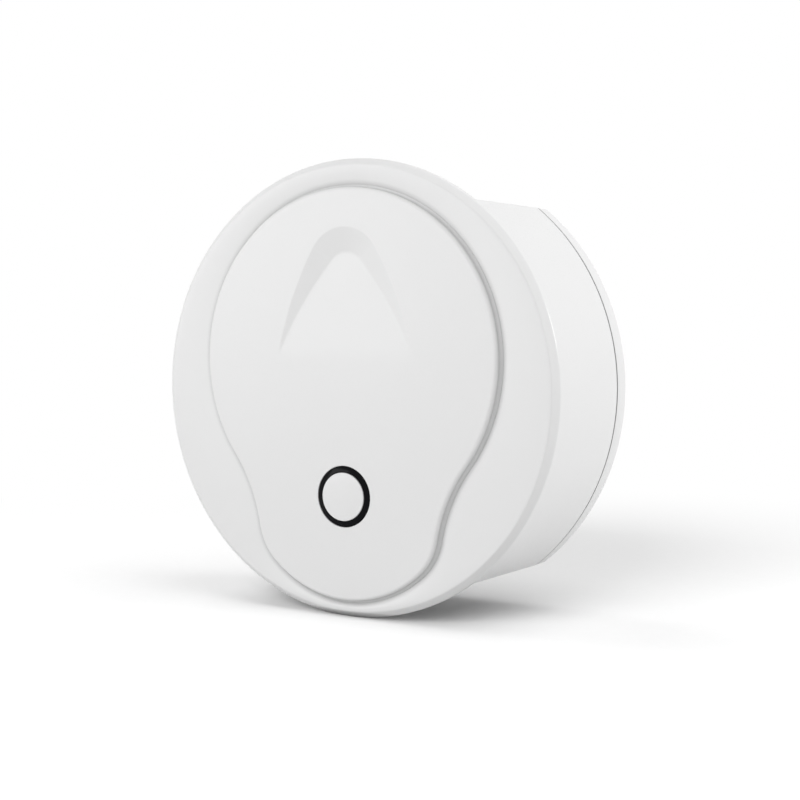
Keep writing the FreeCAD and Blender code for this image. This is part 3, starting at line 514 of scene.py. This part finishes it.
def circuit(mask, copper):
    """Solder mask over copper tracks: straight runs that show as paler lines."""
    material, tree, shader = new_material()
    inputs = {"Vector": own_place(tree), "Scale": TRACK_SCALE, "Mortar Size": 0.06}
    tracks = add_node(tree, "ShaderNodeTexBrick", inputs).outputs["Fac"]
    tree.links.new(ramp(tree, tracks, [(0.4, mask), (0.6, copper)]), shader.inputs["Base Color"])
    shader.inputs["Roughness"].default_value = 0.35
    return material


MATERIALS = {
    # shell_white has shade painted into its colour, up to 90 percent darker within 1.2 mm of crowding
    # surfaces: the seam, the plate's foot and other hollows.
    "shell_white": moulded((0.8, 0.8, 0.8), 0.004, 0.3, 9000.0, 0.05, specular=0.35, crevice_shade=(0.0012, 0.9)),
    "ring_smoked": moulded((0.004, 0.004, 0.005), 0.1, 0.12, 3000.0, 0.02, specular=0.06),
    "guide_clear": clear((0.95, 0.97, 1.0), 0.08),
    "part_black": moulded((0.02, 0.02, 0.022), 0.08, 0.4, 6000.0, 0.1),
    "screw_steel": moulded((0.58, 0.58, 0.6), 0.03, 0.32, 4000.0, 0.1, metal=1.0),
    "led_cream": moulded((0.8, 0.74, 0.5), 0.02, 0.3, 4000.0, 0.05),
    "board_green": circuit((0.01, 0.09, 0.035), (0.03, 0.17, 0.07)),
    "pad_foam": foam((0.62, 0.62, 0.61)),
    "socket_steel": moulded((0.62, 0.62, 0.63), 0.03, 0.28, 5000.0, 0.08, metal=1.0),
    "contact_gold": moulded((0.85, 0.6, 0.22), 0.03, 0.25, 5000.0, 0.05, metal=1.0),
    "module_dark": circuit((0.012, 0.014, 0.03), (0.03, 0.035, 0.06)),
    "shield_steel": moulded((0.66, 0.66, 0.67), 0.04, 0.34, 2500.0, 0.1, metal=1.0),
    "ceramic_pale": moulded((0.75, 0.72, 0.66), 0.03, 0.5, 4000.0, 0.1),
    "coil_grey": moulded((0.09, 0.09, 0.095), 0.08, 0.6, 3500.0, 0.3),
    "can_aluminium": moulded((0.7, 0.7, 0.72), 0.03, 0.3, 3000.0, 0.08, metal=1.0),
    "chip_tan": moulded((0.42, 0.31, 0.2), 0.05, 0.5, 4000.0, 0.1),
}
for slot_name, slot_material in MATERIALS.items():
    slot_material.name = slot_name


def dress_nodes():
    """Gives each CAD node the material of its slot."""
    slots = {entry["node"]: entry["material_slot"] for entry in frame["record"]["subparts"]}
    for name, node in frame["nodes"].items():
        node.data.materials.clear()
        node.data.materials.append(MATERIALS[slots[name]])


# Front housing


def wall_radius(level):
    """The side wall's radius, which grows towards the seam."""
    start = RIM_FRONT - RIM_BEVEL
    share = (start - level) / (start - HOUSING_EDGE)
    return RIM_RADIUS + share * (SEAM_RADIUS - RIM_RADIUS)


def outline_bearings(outline):
    """The bearing of each point of an outline from its centre."""
    return [math.atan2(z, x) for x, z in outline]


def groove_rows(bm, bearings):
    """The seat under the plate, the groove's outer wall and its soft edge."""
    outer = pear(bearings, GROOVE_GAP)
    rows = [ring(bm, circle(bearings, WEB_RADIUS), PLATE_BACK), ring(bm, outer, PLATE_BACK)]
    for left, done in quarter_round(ROUND_STEPS):
        edge = pear(bearings, GROOVE_GAP + GROOVE_SOFT * done)
        rows.append(ring(bm, edge, RIM_FRONT - (DISH_DROP + GROOVE_SOFT * left)))
    return rows


def dish_rows(bm, bearings):
    """The ring between the groove and the rim, which hollows towards the groove."""
    inner = [math.hypot(x, z) for x, z in pear(bearings, GROOVE_GAP + GROOVE_SOFT)]
    outer = RIM_RADIUS - RIM_BEVEL - RIM_SOFT
    rows = []
    for share in spread(0.0, 1.0, DISH_STEPS)[1:]:
        points = polar([radius + (outer - radius) * share for radius in inner], bearings)
        rows.append(ring(bm, points, RIM_FRONT - DISH_DROP * (1 - share) ** DISH_CURVE))
    return rows


def rim_rows(bm, bearings):
    """The rim's soft bevel and its short side, down to the lip."""
    crest = RIM_RADIUS - RIM_BEVEL
    inside = crest - RIM_SOFT
    profile = rounded(
        [
            (inside, RIM_FRONT, 0),
            (crest, RIM_FRONT, RIM_SOFT),
            (RIM_RADIUS, RIM_FRONT - RIM_BEVEL, RIM_SOFT),
            (wall_radius(LIP + EDGE_SOFT), LIP + EDGE_SOFT, 0),
        ]
    )
    return [ring(bm, circle(bearings, radius), level) for radius, level in profile]


def lip_rows(bm, bearings, wall):
    """The step from the round rim to the flatted wall. It has no width where the wall is round."""
    radius = wall_radius(LIP)
    widths = [max(radius - math.hypot(x, z), 0.0) for x, z in wall]
    softs = [min(EDGE_SOFT, width / 2) for width in widths]
    rows = []
    for share in LIP_SHARES:
        points = polar([radius - soft * share for soft in softs], bearings)
        rows.append(ring(bm, points, LIP + EDGE_SOFT * (1 - share) / 2))
    rows.append(ring(bm, wall, LIP - LIP_SINK))
    return rows


def make_front_housing():
    """The housing as one closed shell: groove, dish, rim, lip, wall, seam, tongue and inside."""
    bm = bmesh.new()
    wall = flatted(wall_radius(LIP), FLAT, CORNER_SOFT)
    bearings = outline_bearings(wall)
    rows = groove_rows(bm, bearings) + dish_rows(bm, bearings) + rim_rows(bm, bearings)
    rows += lip_rows(bm, bearings, wall)
    first = len(rows) - 1
    for level in spread(LIP - EDGE_SOFT, HOUSING_EDGE + EDGE_SOFT, WALL_STEPS, last=True):
        rows.append(ring(bm, flatted(wall_radius(level), FLAT, CORNER_SOFT), level))
    last = len(rows) - 1
    edge = [(-EDGE_SOFT * done, HOUSING_EDGE + EDGE_SOFT * left) for left, done in quarter_round(EDGE_STEPS)]
    rows += flatted_rows(bm, SEAM_RADIUS, FLAT, edge[1:])
    end = HOUSING_EDGE - TONGUE_LENGTH
    tongue = [(TONGUE_THICK, HOUSING_EDGE), (TONGUE_THICK, end), (0.0, end)]
    rows += flatted_rows(bm, SEAM_RADIUS - WALL, FLAT - WALL, tongue)
    inside = len(rows) - 1
    rows.append(ring(bm, flatted(RIM_RADIUS - WALL, FLAT - WALL, CORNER_SOFT), INNER_FACE))
    rows.append(ring(bm, circle(bearings, WEB_RADIUS), INNER_FACE))
    rows.append(rows[0])

    # The bottom flat, outside and inside, is left open for the power socket's slot.
    count = len(bearings)
    low = [step for step in range(count) if abs(wall[step][1] + FLAT) < HAIR]
    begin, stop = low[0], low[-1]

    def in_bottom(spot, step):
        within = first <= spot < last or spot == inside
        return within and begin <= step < stop

    skin(bm, rows, skip=in_bottom)
    outer_loop = border(rows[first:last + 1], begin, stop)
    inner_loop = border(rows[inside:inside + 2], begin, stop)
    socket_rows(bm, outer_loop, inner_loop)
    return finish_mesh(bm, "housing_shell", "case", "shell_white", ["front_housing"])


def border(rows, begin, stop):
    """The vertices round a patch of rows, in order."""
    loop = rows[0][begin:stop + 1]
    loop += [row[stop] for row in rows[1:-1]]
    loop += list(reversed(rows[-1][begin:stop + 1]))
    loop += [row[begin] for row in reversed(rows[1:-1])]
    return loop


def slot_ring(bm, bearings, wide, thick, z):
    """A row of vertices round the power socket's slot, at a height."""
    return [
        bm.verts.new((x * MM, (-SOCKET_LEVEL + y) * MM, z * MM)) for x, y in stadium(bearings, wide, thick)
    ]


def socket_rows(bm, outer_loop, inner_loop):
    """The recess for the plug and the slot, between the two skins of the bottom wall."""
    bearings = [math.atan2(vert.co.y / MM + SOCKET_LEVEL, vert.co.x / MM) for vert in outer_loop]
    recess_floor = -FLAT + RECESS_DEEP
    slot = (SOCKET_WIDE + 2 * SOCKET_GAP, SOCKET_THICK + 2 * SOCKET_GAP)
    rows = [outer_loop]
    for left, done in quarter_round(EDGE_STEPS):
        grow = 2 * EDGE_SOFT * left
        z = -FLAT + EDGE_SOFT * done
        rows.append(slot_ring(bm, bearings, RECESS_WIDE + grow, RECESS_THICK + grow, z))
    rows.append(slot_ring(bm, bearings, RECESS_WIDE, RECESS_THICK, recess_floor))
    rows.append(slot_ring(bm, bearings, *slot, recess_floor))
    rows.append(slot_ring(bm, bearings, *slot, -FLAT + WALL))
    skin(bm, rows)
    bmesh.ops.bridge_loops(bm, edges=loop_edges(rows[-1]) + loop_edges(inner_loop))


# Face plate


def arch_inset(x, z):
    """How far a point lies inside the scoop's outer outline."""
    nose = Vector((0.0, ARCH_NOSE_Z))
    side = Vector((-ARCH_SIDE_X, ARCH_SIDE_Z))
    spot = Vector((abs(x), z))
    if (spot - nose).cross(nose - side) < 0:
        return ARCH_NOSE - (spot - nose).length
    return ARCH_SIDE - (spot - side).length


def soft_least(one, other, blend):
    """The lesser of two values, with the change between them rounded off."""
    share = max(blend - abs(one - other), 0.0) / blend
    return min(one, other) - share * share * blend / 4


def floor_depth(z):
    """How deep the scoop's floor lies at a height."""
    return (z - ARCH_FADE_Z) * ARCH_DEPTH / (ARCH_INNER_TOP - ARCH_FADE_Z)


def scoop_depth(x, z):
    """The arch scoop's depth: a sloping rim down to a floor that fades out at its foot."""
    depth = soft_least(arch_inset(x, z) * ARCH_SLOPE, floor_depth(z), 2 * ARCH_SOFT)
    return -soft_least(-depth, 0.0, ARCH_SOFT)


def scoop_normal(x, z, step=0.02):
    """The face's direction at a point, from the scoop's slope."""
    across = (scoop_depth(x + step, z) - scoop_depth(x - step, z)) / (2 * step)
    upward = (scoop_depth(x, z + step) - scoop_depth(x, z - step)) / (2 * step)
    return Vector((across, -1.0, upward)).normalized()


def arch_line(inset):
    """Points along a line that runs inside the scoop's outline at an inset."""
    side = Vector((-ARCH_SIDE_X, ARCH_SIDE_Z))
    join = (Vector((0.0, ARCH_NOSE_Z)) - side).angle_signed(Vector((1.0, 0.0)))
    nose = ARCH_NOSE - inset
    steps = round(nose * (math.pi / 2 - join) / ARCH_SPACING)
    points = circle(spread(math.pi / 2, join, steps, last=True), nose, ARCH_NOSE_Z)
    radius = ARCH_SIDE - inset
    steps = round(radius * ARCH_SWEEP / ARCH_SPACING)
    for turn in spread(join, join - ARCH_SWEEP, steps, last=True)[1:]:
        x = side.x + radius * math.cos(turn)
        z = side.y + radius * math.sin(turn)
        if x > 0 and z > ARCH_FADE_Z:
            points.append((x, z))
    return points + [(-x, z) for x, z in points if x > 0]


def crease_line():
    """Points where the scoop's sloping rim meets its floor."""
    points = []
    for z in spread(ARCH_FADE_Z + CREASE_LOW, ARCH_INNER_TOP - CREASE_HIGH, CREASE_STEPS, last=True):
        inset = floor_depth(z) / ARCH_SLOPE
        low, high = 0.0, CREASE_REACH
        for _ in range(HALVINGS):
            middle = (low + high) / 2
            if arch_inset(middle, z) > inset:
                low = middle
            else:
                high = middle
        points += [(low, z), (-low, z)]
    return points


def apart(spots, gap):
    """The places that aren't closer than a gap to one that comes before them."""
    cells = {}
    kept = []
    for x, z in spots:
        column, row = round(x / gap), round(z / gap)
        beside = [cells.get((column + i, row + j)) for i in (-1, 0, 1) for j in (-1, 0, 1)]
        if all(math.dist((x, z), other) >= gap for other in beside if other):
            cells[(column, row)] = (x, z)
            kept.append((x, z))
    return kept


def face_points():
    """Places for the face's vertices: dense over the scoop's slopes, open elsewhere."""
    spots = []
    for inset in ARCH_INSETS:
        spots += arch_line(inset)
    for shift in CREASE_SHIFTS:
        spots += [(x, z + shift) for x, z in crease_line()]
    for column in range(-GRID_REACH, GRID_REACH + 1):
        for row in range(-GRID_REACH, GRID_REACH + 1):
            spots.append((column, row + GRID_STAGGER * (column % 2)))
    return apart(spots, FACE_GAP)


def fill_between(bm, outer, inner, spots, depth, wanted):
    """Triangles between two rows, over free spots that lie at a depth. Gives the spots' vertices."""
    rows = [[Vector((vert.co.x, vert.co.z)) / MM for vert in row] for row in (outer, inner)]
    edges = []
    start = 0
    for row in rows:
        edges += [(start + step, start + (step + 1) % len(row)) for step in range(len(row))]
        start += len(row)
    places = rows[0] + rows[1] + [Vector(spot) for spot in spots]
    flat, _, faces, origin, _, _ = delaunay_2d_cdt(places, edges, [], 0, JOIN_REACH, True)
    fresh = [bm.verts.new((x * MM, (depth(x, z) - PLATE_FACE) * MM, z * MM)) for x, z in spots]
    verts = outer + inner + fresh
    for face in faces:
        middle = sum((flat[corner] for corner in face), Vector((0.0, 0.0))) / len(face)
        if wanted(*middle):
            bm.faces.new([verts[origin[corner][0]] for corner in face])
    return fresh


def side_rows(bm, bearings):
    """The plate's side: a rounded edge, then a hollow curve out to the groove's floor."""
    rows = []
    for left, done in quarter_round(SIDE_STEPS):
        rows.append(ring(bm, pear(bearings, -PLATE_EDGE * left), PLATE_FACE - PLATE_EDGE * done))
    for left, done in quarter_round(SIDE_STEPS):
        rows.append(ring(bm, pear(bearings, PLATE_FOOT * done), GROOVE_LEVEL + PLATE_FOOT * left))
    rows.append(ring(bm, pear(bearings, PLATE_FOOT), PLATE_BACK))
    return rows


def make_face_plate():
    """Pear-shaped plate with its soft edge, the arch scoop and the ring's hole."""
    bearings = spread(0.0, 2 * math.pi, PEAR_STEPS)
    turns = spread(0.0, 2 * math.pi, TURN_STEPS)
    hole_radius = RING_RADIUS + RING_GAP
    bm = bmesh.new()
    edge = side_rows(bm, bearings)
    skin(bm, edge)
    bore = []
    for left, done in quarter_round(EDGE_STEPS):
        outline = circle(turns, hole_radius + HOLE_SOFT * left, BUTTON_Z)
        bore.append(ring(bm, outline, PLATE_FACE - HOLE_SOFT * done))
    bore.append(ring(bm, circle(turns, hole_radius, BUTTON_Z), PLATE_BACK))
    skin(bm, bore)

    def inside(x, z, margin=0.0):
        rim = pear([math.atan2(z, x)], -PLATE_EDGE - margin)[0]
        clear_of_hole = math.hypot(x, z - BUTTON_Z) > hole_radius + HOLE_SOFT + margin
        return math.hypot(x, z) < math.hypot(*rim) and clear_of_hole

    def behind(x, z):
        rim = pear([math.atan2(z, x)], PLATE_FOOT)[0]
        return math.hypot(x, z) < math.hypot(*rim) and math.hypot(x, z - BUTTON_Z) > hole_radius

    spots = [spot for spot in face_points() if inside(*spot, FACE_MARGIN)]
    fresh = fill_between(bm, edge[0], bore[0], spots, scoop_depth, inside)
    fill_between(bm, edge[-1], bore[-1], [], scoop_depth, behind)
    bm.verts.index_update()
    front = [vert.index for vert in edge[0] + bore[0] + fresh]
    piece = finish_mesh(bm, "pear_plate", "case", "shell_white", ["face_plate"])
    normals = [vertex.normal.copy() for vertex in piece.data.vertices]
    for spot in front:
        x, _, z = piece.data.vertices[spot].co / MM
        normals[spot] = scoop_normal(x, z)
    piece.data.normals_split_custom_set_from_vertices(normals)
    return piece


# Turned pieces


def turn_piece(name, corners, body, slot, replaced):
    """A piece turned about the button's axis, from corners (radius, level, rounding)."""
    bm = bmesh.new()
    turns = spread(0.0, 2 * math.pi, TURN_STEPS)
    rows = [ring(bm, circle(turns, radius, BUTTON_Z), level) for radius, level in rounded(corners)]
    if all(radius > 0 for radius, _, _ in corners):
        rows.append(rows[0])
    skin(bm, rows)
    bmesh.ops.remove_doubles(bm, verts=bm.verts, dist=JOIN_REACH * MM)
    return finish_mesh(bm, name, body, slot, replaced)


def make_ring():
    """Smoked ring that stands in the plate's hole, on its flange."""
    corners = [
        (RING_BORE, RING_INNER_LEVEL, RING_SOFT),
        (RING_RADIUS, RING_OUTER_LEVEL, RING_SOFT),
        (RING_RADIUS, PLATE_BACK, 0),
        (RING_FLANGE, PLATE_BACK, RING_SOFT),
        (RING_FLANGE, RING_BACK, RING_SOFT),
        (RING_BORE, RING_BACK, 0),
    ]
    return turn_piece("smoked_ring", corners, "case", "ring_smoked", ["light_ring"])


def make_cap():
    """Button cap with its flange and stem."""
    corners = [
        (0.0, CAP_LEVEL, 0),
        (CAP_RADIUS, CAP_LEVEL, CAP_SOFT),
        (CAP_RADIUS, CAP_FLANGE_LEVEL, 0),
        (CAP_FLANGE, CAP_FLANGE_LEVEL, 0),
        (CAP_FLANGE, CAP_FLANGE_BACK, 0),
        (CAP_BORE, CAP_FLANGE_BACK, 0),
        (CAP_BORE, CAP_TOP_BACK, 0),
        (STEM_RADIUS, CAP_TOP_BACK, 0),
        (STEM_RADIUS, STEM_LEVEL, 0),
        (0.0, STEM_LEVEL, 0),
    ]
    return turn_piece("cap_shell", corners, "button", "shell_white", ["button_cap"])


# Rear cover, pad and power socket


def make_rear_cover():
    """Shallow cover with a rounded rear edge and the pad's recess."""
    bm = bmesh.new()
    side = [(-COVER_WALL, COVER_FLOOR), (-COVER_WALL, COVER_EDGE)]
    for left, done in quarter_round(EDGE_STEPS):
        side.append((-EDGE_SOFT * left, COVER_EDGE - EDGE_SOFT * done))
    for left, done in quarter_round(2 * ROUND_STEPS):
        side.append((-COVER_ROUND * done, REAR + COVER_ROUND * left))
    recess = []
    for left, done in quarter_round(EDGE_STEPS):
        recess.append((PAD_GAP + PAD_SOFT * left, REAR + PAD_SOFT * done))
    recess.append((PAD_GAP, PAD_THICK))
    rows = flatted_rows(bm, COVER_RADIUS, FLAT, side) + flatted_rows(bm, PAD_RADIUS, PAD_HALF, recess)
    capped(bm, rows)
    return finish_mesh(bm, "cover_shell", "case", "shell_white", ["rear_cover"])


def make_pad():
    """Foam pad with softly pressed edges."""
    bm = bmesh.new()
    profile = [(-PAD_SOFT * left, PAD_SOFT * done) for left, done in quarter_round(SOFT_STEPS)]
    profile.append((0.0, PAD_THICK))
    capped(bm, flatted_rows(bm, PAD_RADIUS, PAD_HALF, profile))
    return finish_mesh(bm, "foam_pad", "case", "pad_foam", ["adhesive_pad"])


def tab_ring(bm, inset, z):
    """A row of vertices round the tongue, at a height."""
    wide = TAB_WIDE / 2 - inset
    thick = TAB_THICK / 2 - inset
    corners = [(wide, thick), (-wide, thick), (-wide, -thick), (wide, -thick)]
    profile = rounded([(*corner, TAB_SOFT) for corner in corners], EDGE_STEPS)
    return [bm.verts.new((x * MM, (y - SOCKET_LEVEL) * MM, z * MM)) for x, y in profile]


def make_socket():
    """The power socket's folded steel shell and the tongue inside it."""
    turns = spread(0.0, 2 * math.pi, TURN_STEPS)
    bm = bmesh.new()
    top = SOCKET_MOUTH + SOCKET_LONG
    rows = [slot_ring(bm, turns, SOCKET_WIDE, SOCKET_THICK, top)]
    half = SOCKET_WALL / 2
    for turn in spread(0.0, math.pi, FOLD_STEPS, last=True):
        inset = half * (1 - math.cos(turn))
        z = SOCKET_MOUTH + half * (1 - math.sin(turn))
        rows.append(slot_ring(bm, turns, SOCKET_WIDE - 2 * inset, SOCKET_THICK - 2 * inset, z))
    bore = (SOCKET_WIDE - 2 * SOCKET_WALL, SOCKET_THICK - 2 * SOCKET_WALL)
    rows.append(slot_ring(bm, turns, *bore, top - SOCKET_BACK))
    capped(bm, rows)
    finish_mesh(bm, "socket_shell", "case", "socket_steel", ["usb_shell"])

    bm = bmesh.new()
    tip = SOCKET_MOUTH + TAB_SHORT
    rows = [tab_ring(bm, 0.0, top - SOCKET_BACK)]
    for left, done in quarter_round(SOFT_STEPS):
        rows.append(tab_ring(bm, TAB_SOFT * done, tip + TAB_SOFT * left))
    capped(bm, rows)
    finish_mesh(bm, "socket_tongue", "case", "part_black", ["usb_tongue"])


# Stage


def seen_by_eye(tree):
    """1 for rays that come from the camera, a mirror or glass, else 0."""
    rays = add_node(tree, "ShaderNodeLightPath").outputs
    eye = rays["Is Camera Ray"]
    for other in ("Is Glossy Ray", "Is Transmission Ray"):
        eye = add_node(tree, "ShaderNodeMath", {0: eye, 1: rays[other]}, operation="MAXIMUM").outputs[0]
    return eye


def make_floor():
    """A wide white floor with the object's shadow, which fades to plain white away from it."""
    bm = bmesh.new()
    corners = [(-1, -1), (1, -1), (1, 1), (-1, 1)]
    bm.faces.new([bm.verts.new((x * FLOOR_REACH, y * FLOOR_REACH, FLOOR_Z)) for x, y in corners])
    mesh = bpy.data.meshes.new("floor")
    bm.to_mesh(mesh)
    bm.free()
    floor = bpy.data.objects.new("floor", mesh)
    bpy.context.scene.collection.objects.link(floor)
    material, tree, shader = new_material("floor")
    tree.nodes.remove(shader)
    paper = noise(tree, PAPER_SCALE, 3.0)
    shade = ramp(tree, paper, [(0.3, (FLOOR_COLOUR - 0.01,) * 3), (0.7, (FLOOR_COLOUR,) * 3)])
    eye = seen_by_eye(tree)
    seen = scaled(tree, shade, remap(tree, eye, FLOOR_BOUNCE, 1.0))
    near = add_node(tree, "ShaderNodeBsdfDiffuse", {"Color": seen})
    white = add_node(tree, "ShaderNodeEmission", {"Strength": 1.0})
    away = add_node(tree, "ShaderNodeVectorMath", {0: own_place(tree)}, operation="LENGTH").outputs["Value"]
    fade = remap(tree, away, 0.0, 1.0, between=(FLOOR_NEAR, FLOOR_FAR), interpolation_type="SMOOTHSTEP")
    share = add_node(tree, "ShaderNodeMath", {0: fade, 1: eye}, operation="MULTIPLY").outputs[0]
    whole = add_node(tree, "ShaderNodeMixShader", {0: share, 1: near.outputs[0], 2: white.outputs[0]})
    tree.links.new(whole.outputs[0], tree.nodes["Material Output"].inputs["Surface"])
    mesh.materials.append(material)
    return floor


def make_world():
    """White to the eye, and a soft even light on the object."""
    world = bpy.data.worlds.new("studio")
    world.use_nodes = True
    tree = world.node_tree
    background = tree.nodes["Background"]
    background.inputs["Color"].default_value = (1.0, 1.0, 1.0, 1.0)
    tree.links.new(remap(tree, seen_by_eye(tree), AMBIENT, 1.0), background.inputs["Strength"])
    bpy.context.scene.world = world


def floor_group(floor, name, state):
    """A group that names the floor alone, as what a lamp lights or leaves out."""
    group = bpy.data.collections.new(name)
    group.objects.link(floor)
    group.collection_objects[0].light_linking.link_state = state
    return group


def make_lamp(name, bearing, height, size, power, lit):
    """A square soft light that faces the object from a bearing and a height in degrees."""
    turn, rise = math.radians(bearing), math.radians(height)
    place = Vector((math.sin(turn) * math.cos(rise), -math.cos(turn) * math.cos(rise), math.sin(rise)))
    lamp = bpy.data.lights.new(name, "AREA")
    lamp.shape = "SQUARE"
    lamp.size = size
    lamp.energy = power
    holder = bpy.data.objects.new(name, lamp)
    holder.location = place * LAMP_REACH
    holder.rotation_euler = (-place).to_track_quat("-Z", "Y").to_euler()
    holder.light_linking.receiver_collection = lit
    bpy.context.scene.collection.objects.link(holder)


def make_camera():
    """The photograph's camera."""
    data = bpy.data.cameras.new("camera")
    data.lens = CAMERA_LENS
    data.sensor_width = CAMERA_SENSOR
    data.clip_start = 0.01
    camera = bpy.data.objects.new("camera", data)
    camera.location = CAMERA_EYE
    camera.rotation_euler = Vector(CAMERA_AIM).to_track_quat("-Z", "Y").to_euler()
    bpy.context.scene.collection.objects.link(camera)
    bpy.context.scene.camera = camera


dress_nodes()
make_front_housing()
make_face_plate()
make_ring()
make_cap()
make_rear_cover()
make_pad()
make_socket()
stage_floor = make_floor()
make_world()
but_floor = floor_group(stage_floor, "but_floor", "EXCLUDE")
only_floor = floor_group(stage_floor, "only_floor", "INCLUDE")
for lamp_values in PIECE_LAMPS:
    make_lamp(*lamp_values, but_floor)
for lamp_values in FLOOR_LAMPS:
    make_lamp(*lamp_values, only_floor)
make_camera()
bpy.context.scene.view_settings.view_transform = "Standard"
